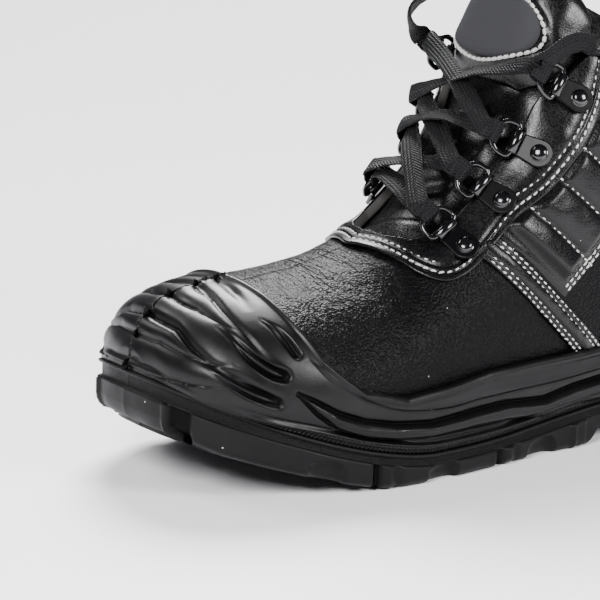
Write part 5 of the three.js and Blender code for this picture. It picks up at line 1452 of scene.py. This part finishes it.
def roundTube(path, radius, sides, joined=False):
    path = np.asarray(path, float)
    way = (np.roll(path, -1, 0) - np.roll(path, 1, 0)) if joined else np.gradient(path, axis=0)
    way /= np.linalg.norm(way, axis=1, keepdims=True)
    up = np.array([0.1, 0.2, 1.0])
    rings = []
    for point, forward in zip(path, way):
        side = np.cross(up, forward)
        side /= np.linalg.norm(side)
        up = np.cross(forward, side)
        turn = np.linspace(0, 2 * math.pi, sides, endpoint=False)
        rings.append(point + radius * (np.cos(turn)[:, None] * side + np.sin(turn)[:, None] * up))
    return np.array(rings), joined


def makeClip(name, index, side):
    turn, origin = clipFrame(index, side)
    reach, half = clip["length"] / 2, clip["width"] / 2
    step = 18
    arc = np.linspace(math.pi / 2, 1.5 * math.pi, step)
    waist = [(reach - 2.2, half - 0.9), (reach, half - 0.9)]
    outline = waist[::-1] + [(-reach + half * math.cos(a), half * math.sin(a)) for a in arc] + [(x, -y) for x,
        y in waist]
    outline = np.array(outline)
    centre = outline.mean(0)
    rings = []
    for height, shrink in ((0.0, 0.96), (0.1, 1.0), (clip["thickness"] - 0.45, 1.0),
        (clip["thickness"] - 0.12, 0.965), (clip["thickness"], 0.9)):
        flat = centre + (outline - centre) * shrink
        rings.append(np.column_stack([flat, np.full(len(flat), height)]))
    plate = np.array(rings) @ turn.T + origin
    around = np.linspace(0, 2 * math.pi, 28, endpoint=False)
    dome = []
    for radius, height in ((3.5, clip["thickness"] - 0.3), (3.5, clip["thickness"] + 0.15),
        (3.35, clip["thickness"] + 0.3), (3.1, clip["thickness"] + 0.35),
                           (2.95, clip["thickness"] + 0.75), (2.6, clip["thickness"] + 1.2),
                           (1.9, clip["thickness"] + 1.55), (1.0, clip["thickness"] + 1.75),
                           (0.3, clip["thickness"] + 1.8)):
        dome.append(np.column_stack([-reach + radius * np.cos(around), radius * np.sin(around),
            np.full(len(around), height)]))
    dome = np.array(dome) @ turn.T + origin
    barHeight = clip["wire"] / 2 + boot["fit"] + clip["seat"] / 2
    tube = []
    outer = clip["wire"] / 2 + 1.15
    for y, r in ((-half + 0.9, outer - 0.35), (-half + 1.2, outer), (half - 1.2, outer), (half - 0.9, outer - 0.35)):
        tube.append(np.column_stack([reach + r * np.cos(around), np.full(len(around), y),
            barHeight + r * np.sin(around)]))
    tube = np.array(tube) @ turn.T + origin
    return bodies(name, [(plate, False), (dome, False), (tube, False)], [plateMetal, metal])


def makeRing(name, index, side):
    turn, origin = ringFrame(index, side)
    half, corner = clip["bar"] / 2, clip["reach"] * 0.45
    path = [(0, -half), (0, half)]
    for i in range(9):
        a = math.pi / 2 - i / 8 * math.pi
        path.append((corner + (clip["reach"] - corner) * math.cos(a), half * math.sin(a)))
    path = np.array(path)
    for _ in range(3):
        path = np.stack([0.75 * path + 0.25 * np.roll(path, -1, 0), 0.25 * path + 0.75 * np.roll(path, -1, 0)],
            1).reshape(-1, 2)
    path = np.column_stack([path, 0 * path[:, 0]]) @ turn.T + origin
    return bodies(name, [roundTube(path, clip["wire"] / 2, 14, True)], [metal])


# Laces: one flat braid through all rings, from the collar on the outer side to the inner loop
lace = {"width": 8.0, "thickness": 1.5, "lift": 2.5}


def ringPass(index, side):
    # points and width directions where the lace comes in under a ring's bow and leaves over it
    turn, origin = ringFrame(index, side)
    x, y, n = turn[:, 0], turn[:, 1], turn[:, 2]
    bow = origin + x * clip["reach"]
    r = clip["wire"] / 2 + lace["thickness"] / 2 + 0.15
    spots = [bow + x * 6.0 - n * 1.9, bow + x * 2.0 - n * r, bow - x * 0.75 * r - n * 0.8 * r, bow - x * 1.05 * r,
             bow - x * 0.75 * r + n * 0.8 * r, bow + x * 1.5 + n * r, bow + x * 5.5 + n * 1.9]
    return spots, [y] * len(spots)


def halfLace(order):
    # from the middle of the bottom bar up to the last ring, as points with directions across
    spots, sides = [], []
    levelOut = np.array([0.35, 0.0, 0.94])
    for k, (index, side) in enumerate(order):
        ringSpots, ringSides = ringPass(index, side)
        if k:
            start, end = spots[-1], ringSpots[0]
            cross = 1.35 if side * (-1) ** index > 0 else -0.55
            height = lace["lift"] + cross
            for share, amount in ((0.3, 0.75), (0.5, 1.0), (0.7, 0.75)):
                spots.append(start + (end - start) * share + levelOut * height * amount)
                sides.append(None)
        spots += ringSpots
        sides += ringSides
    return spots, sides


def flatBraid(name, spots, sides, width, thickness, seed, stepLength=0.8):
    # a flat strip with rounded edges along a smooth line, its width kept near the given directions
    spots = np.array(spots)
    filled = []
    for k, side in enumerate(sides):
        way = spots[min(k + 1, len(spots) - 1)] - spots[max(k - 1, 0)]
        way /= np.linalg.norm(way)
        if side is None:
            side = np.cross(np.array([0.35, 0.0, 0.94]), way)
        side = side - way * (side @ way)
        side /= np.linalg.norm(side)
        if filled and side @ filled[-1] < 0:
            side = -side
        filled.append(side)
    rows = np.column_stack([spots, np.array(filled)])
    t = np.linspace(0, len(rows) - 1, 24 * len(rows))
    dense = np.stack([columnAt(rows[:, k], t) for k in range(6)], -1)
    gone = np.concatenate([[0], np.cumsum(np.linalg.norm(np.diff(dense[:, :3], axis=0), axis=1))])
    count = max(int(gone[-1] / stepLength), 12)
    want = np.linspace(0, gone[-1], count)
    dense = np.stack([np.interp(want, gone, dense[:, k]) for k in range(6)], -1)
    path, side = dense[:, :3], dense[:, 3:]
    way = np.gradient(path, axis=0)
    way /= np.linalg.norm(way, axis=1, keepdims=True)
    side = side - way * (side * way).sum(1, keepdims=True)
    side /= np.linalg.norm(side, axis=1, keepdims=True)
    up = np.cross(way, side)
    turn = np.linspace(0, 2 * math.pi, 20, endpoint=False)
    a = np.sign(np.cos(turn)) * np.abs(np.cos(turn)) ** 0.75
    b = np.sign(np.sin(turn)) * np.abs(np.sin(turn)) ** 0.55
    loose = 1 + 0.06 * np.sin(want * 0.21 + seed) + 0.03 * np.sin(want * 0.9 + 2 * seed)
    cup = 0.35 * np.sin(want * 0.13 + seed)
    across = a[None] * (width / 2 * loose)[:, None]
    rise = b[None] * thickness / 2 + cup[:, None] * (a[None] ** 2 - 0.4)
    ends = np.ones(count)
    rings = path[:, None] + side[:, None] * across[..., None] + up[:, None] * (rise * ends[:, None])[..., None]
    closing = [rings[0].mean(0) + 0 * rings[0]], [rings[-1].mean(0) + 0 * rings[-1]]
    rings = np.concatenate([closing[0], rings, closing[1]])
    length = np.concatenate([[0], want, [want[-1]]])
    acrossUv = np.concatenate([across[:1] * 0, across, across[:1] * 0])
    uv = np.stack([np.concatenate([acrossUv, acrossUv[:, :1]], 1),
        np.tile(length[:, None], (1, len(turn) + 1))], -1) * mm
    sheetPiece(name, rings, uv, True, None, [braid])
    return path, gone[-1]


def makeLaces():
    upA, sideA = halfLace([(0, 1), (1, -1), (2, 1), (3, -1)])
    upB, sideB = halfLace([(0, -1), (1, 1), (2, -1), (3, 1)])
    # the bottom bar joins the two halves under the front rings
    start, end = upB[0], upA[0]
    bar = [start + (end - start) * share + np.array([0.35, 0,
        0.94]) * 2.6 * math.sin(math.pi * share) for share in (0.25, 0.5, 0.75)]
    # outer end: from the top ring up to the collar, where it is tucked in
    outerEnd = [(143.0, 36.5, 153.6), (137.5, 36.6, 156.6), (130.0, 35.6, 158.4),
                (123.0, 35.0, 157.4), (117.5, 34.8, 153.4), (114.5, 34.8, 147.8)]
    outerFace = np.array([0.75, 0.15, 0.8])
    spots = upB[::-1] + bar + upA
    sides = sideB[::-1] + [None] * 3 + sideA
    length = flatBraid("laces", spots, sides, lace["width"], lace["thickness"], 1.7)[1]
    print("lace through the rings", round(length), "mm")
    spots = upB[-3:] + [np.array(p) for p in outerEnd]
    tail = flatBraid("lace_tail", spots, sideB[-3:] + [outerFace] * len(outerEnd), lace["width"],
        lace["thickness"], 2.9)
    print("outer end", round(tail[1]), "mm")
    # inner loop: out of the top ring on the far side, round, and down behind the tongue's top
    loop = [upA[-1], (152.5, -38.6, 156.0), (151.6, -41.0, 161.5), (146.0, -40.0, 167.0), (138.0, -37.6, 170.2),
        (129.0, -35.2, 170.6), (121.5, -32.5, 168.0), (116.5, -29.5, 163.0)]
    loopSides = [sideA[-1]] + [np.array([0.45, 0.62, 0.64])] * 7
    inner = flatBraid("lace_loop", [np.array(p, float) for p in loop], loopSides, lace["width"],
        lace["thickness"], 0.6)
    print("inner loop", round(inner[1]), "mm")
    return {"lace_tail": tail, "lace_loop": inner}


makeTongue()
makeTonguePad()
makePatch()
for index in range(4):
    for side, word in ((1, "outer"), (-1, "inner")):
        makeClip("clip_%s_%d" % (word, index + 1), index, side)
        makeRing("ring_%s_%d" % (word, index + 1), index, side)
for name, (path, length) in makeLaces().items():
    spots = [tuple(float(v) for v in spot) for spot in placed(path)]
print("tongue, rings and laces ready")


# Stitches: short raised threads in rows, all of one piece in one mesh
def stitchRows(name, rowsOfPoints, pitch=3.1, length=2.35, radius=0.42, seed=3, sag=0.32):
    # each row is (points, outward directions) along a seam, in millimetres
    dice = np.random.default_rng(seed)
    template = []
    rings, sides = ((7, 7))
    for k in range(rings):
        t = -1 + 2 * k / (rings - 1)
        r = radius * math.sqrt(max(0.06, 1 - t ** 4))
        a = np.linspace(0, 2 * math.pi, sides, endpoint=False)
        template.append(np.column_stack([np.full(sides, t * length / 2), r * np.cos(a), r * np.sin(a) - sag * t * t]))
    template = np.array(template)
    grids = []
    for points, outs in rowsOfPoints:
        points, outs = np.asarray(points, float), np.asarray(outs, float)
        gone = np.concatenate([[0], np.cumsum(np.linalg.norm(np.diff(points, axis=0), axis=1))])
        count = int(gone[-1] / pitch)
        if count < 1:
            continue
        want = (np.arange(count) + 0.5) * gone[-1] / count
        way = np.gradient(points, axis=0)
        for w in want:
            p = np.array([np.interp(w, gone, points[:, k]) for k in range(3)])
            f = np.array([np.interp(w, gone, way[:, k]) for k in range(3)])
            n = np.array([np.interp(w, gone, outs[:, k]) for k in range(3)])
            f /= np.linalg.norm(f)
            n -= f * (n @ f)
            n /= np.linalg.norm(n)
            s = np.cross(n, f)
            tilt = dice.normal(0, 0.09) + 0.12
            f2, s2 = f * math.cos(tilt) + s * math.sin(tilt), s * math.cos(tilt) - f * math.sin(tilt)
            size = dice.uniform(0.9, 1.08)
            turn = np.stack([f2 * size, s2, n])
            grids.append((template @ turn + p, False))
    return bodies(name, grids, [thread])


def seamOnForm(row, angle, grow):
    points = formPoint(row, angle, grow)
    outs = formNormal(row, angle, grow)
    # outwards is away from the middle of the section
    heart = formPoint(row, angle, -25.0)
    flip = ((points - heart) * outs).sum(1) < 0
    outs[flip] = -outs[flip]
    return points, outs


def sideSeam(points, side, grow, count=120):
    row, angle = findOnForm(splineThrough(points, count), side)
    return seamOnForm(row, angle, grow)


facingTop = boot["fit"] + boot["overlay"]
facingRows = []
for side in (1, -1):
    for inset in (2.4, 5.4):
        row, angle = facingPath(side, 260, inset)
        facingRows.append(seamOnForm(row, angle, facingTop - 0.1))
stitchRows("facing_stitches", facingRows)

bandRows = []
start, end = np.array(bandShape["from"]), np.array(bandShape["to"])
way = (end - start) / np.linalg.norm(end - start)
across = np.array([-way[1], way[0]])
for side in (1, -1):
    for offset in (-4.3, -2.5, 2.5, 4.3):
        line = [start + across * offset + way * 4.0, start + across * offset + (end - start) * 0.5,
            end + across * offset]
        bandRows.append(sideSeam(line, side, 1.35))
stitchRows("band_stitches", bandRows, 2.9, 2.2, 0.42, 5)

padRows = []
for side in (1, -1):
    for a, b in quiltLines:
        padRows.append(sideSeam([a, ((a[0] + b[0]) / 2, (a[1] + b[1]) / 2), b], side, 1.05, 60))
    low, top, left = padBoundary(side, 200)
    for lift, grow in ((1.2, 0.75), (3.2, 0.75)):
        edgePoints = formPoint(low[0], low[1])
        byRow = (formPoint(low[0] + 0.01, low[1]) - edgePoints) / 0.01
        byAngle = (formPoint(low[0], low[1] + 0.01) - edgePoints) / 0.01
        away = np.cross(formNormal(low[0], low[1], 0.0), np.gradient(edgePoints, axis=0))
        away *= lift / np.linalg.norm(away, axis=1, keepdims=True)
        away[away @ np.array([0.4, 0, 1]) < 0] *= -1
        rr, ra, aa = (byRow * byRow).sum(1), (byRow * byAngle).sum(1), (byAngle * byAngle).sum(1)
        r, a = (byRow * away).sum(1), (byAngle * away).sum(1)
        upRow, upAngle = (r * aa - a * ra) / (rr * aa - ra * ra), (a * rr - r * ra) / (rr * aa - ra * ra)
        behind = edgePoints[:, 0] < padShares[0][0] * boot["length"] - 1.0
        padRows.append(seamOnForm((low[0] + upRow)[behind], (low[1] + upAngle)[behind], grow))
stitchRows("pad_stitches", padRows, 2.9, 2.2, 0.42, 7)

# thick, uneven stitches round the patch
turn = np.linspace(0, 2 * math.pi, 200)
dice = np.random.default_rng(12)
y = np.cos(turn) * (tongue["patchWidth"] / 2 + 1.5)
share = np.sin(turn) * (tongue["patchHeight"] / 2 + 1.5) / (tongue["patchHeight"] / 2)
row = tongue["patchMiddle"] + share * 0.5 * tongue["patchHeight"] / tongue["perRow"]
grow = padOuter(y * 2 / tongue["padWidth"]) + 0.1
edgePoints = frontPoint(row, y, grow)
edgeOut = edgePoints - frontPoint(row, y * 0.9, grow - 8)
stitchRows("patch_stitches", [(edgePoints, edgeOut)], 2.9, 2.9, 0.78, 9, 0.25)
print("stitches ready")

# The CAD parts that the pieces above remake, which are hidden, each listed with a finish name that is not used
slots = {
    "midsole": "midsole", "outsole": "outsole", "upper": "grain_leather", "facing": "smooth_leather",
    "band_outer": "smooth_leather", "band_inner": "smooth_leather", "ankle_pad": "smooth_leather",
    "tongue": "smooth_leather", "tongue_pad": "smooth_leather", "tongue_patch": "patch",
}
for name, slotName in slots.items():
    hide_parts(name)
for word in ("outer", "inner"):
    for index in range(1, 5):
        for kind in ("clip", "ring"):
            name = "%s_%s_%d" % (kind, word, index)
            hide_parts(name)
for name, node in (("laces", "lace_crossings"), ("lace_tail", "lace_end_outer"), ("lace_loop", "lace_end_inner")):
    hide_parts(node)
insole = bpy.data.objects["insole"]
insole.data.materials.clear()
insole.data.materials.append(insoleCloth)


# Studio: white ground, pale floor, broad soft lights
def lamp(name, place, target, size, power, colour="#ffffff"):
    light = bpy.data.lights.new(name, "AREA")
    light.shape = "RECTANGLE"
    light.size, light.size_y = size
    light.energy = power
    light.color = linear(colour)[:3]
    item = bpy.data.objects.new(name, light)
    bpy.context.scene.collection.objects.link(item)
    item.location = place
    item.rotation_euler = (Vector(target) - Vector(place)).to_track_quat("-Z", "Y").to_euler()
    return item


world = bpy.data.worlds.new("white room")
bpy.context.scene.world = world
world.use_nodes = True
world.node_tree.nodes["Background"].inputs[0].default_value = linear("#f4f6ff")
world.node_tree.nodes["Background"].inputs[1].default_value = 0.14

studio = {
    # direction that each even light comes from, its strength and its angular size in degrees
    "top": ((-0.62, -0.78, 0.95), 8.5, 30),
    "left": ((0.55, -0.75, 0.9), 1.3, 22),
}
for name, (way, strength, size) in studio.items():
    light = bpy.data.lights.new(name, "SUN")
    light.energy = strength
    light.angle = math.radians(size)
    item = bpy.data.objects.new(name, light)
    bpy.context.scene.collection.objects.link(item)
    item.rotation_euler = Vector(way).to_track_quat("Z", "Y").to_euler()
lamp("front softbox", (0.9, 0.55, 0.75), (0.05, 0.0, 0.05), (0.45, 0.45), 22)
lamp("near side strip", (-0.35, 0.8, 0.55), (-0.05, 0.0, 0.1), (0.35, 0.35), 12)

floorMaterial, tree, shader = newMaterial("pale studio paper", "#f4f3f6", 0.6, 1.45)
reach = 3.0
bm = bmesh.new()
bmesh.ops.create_grid(bm, x_segments=2, y_segments=2, size=reach)
floorMesh = bpy.data.meshes.new("studio floor")
bm.to_mesh(floorMesh)
bm.free()
floor = bpy.data.objects.new("studio floor", floorMesh)
bpy.context.scene.collection.objects.link(floor)
floorMesh.materials.append(floorMaterial)
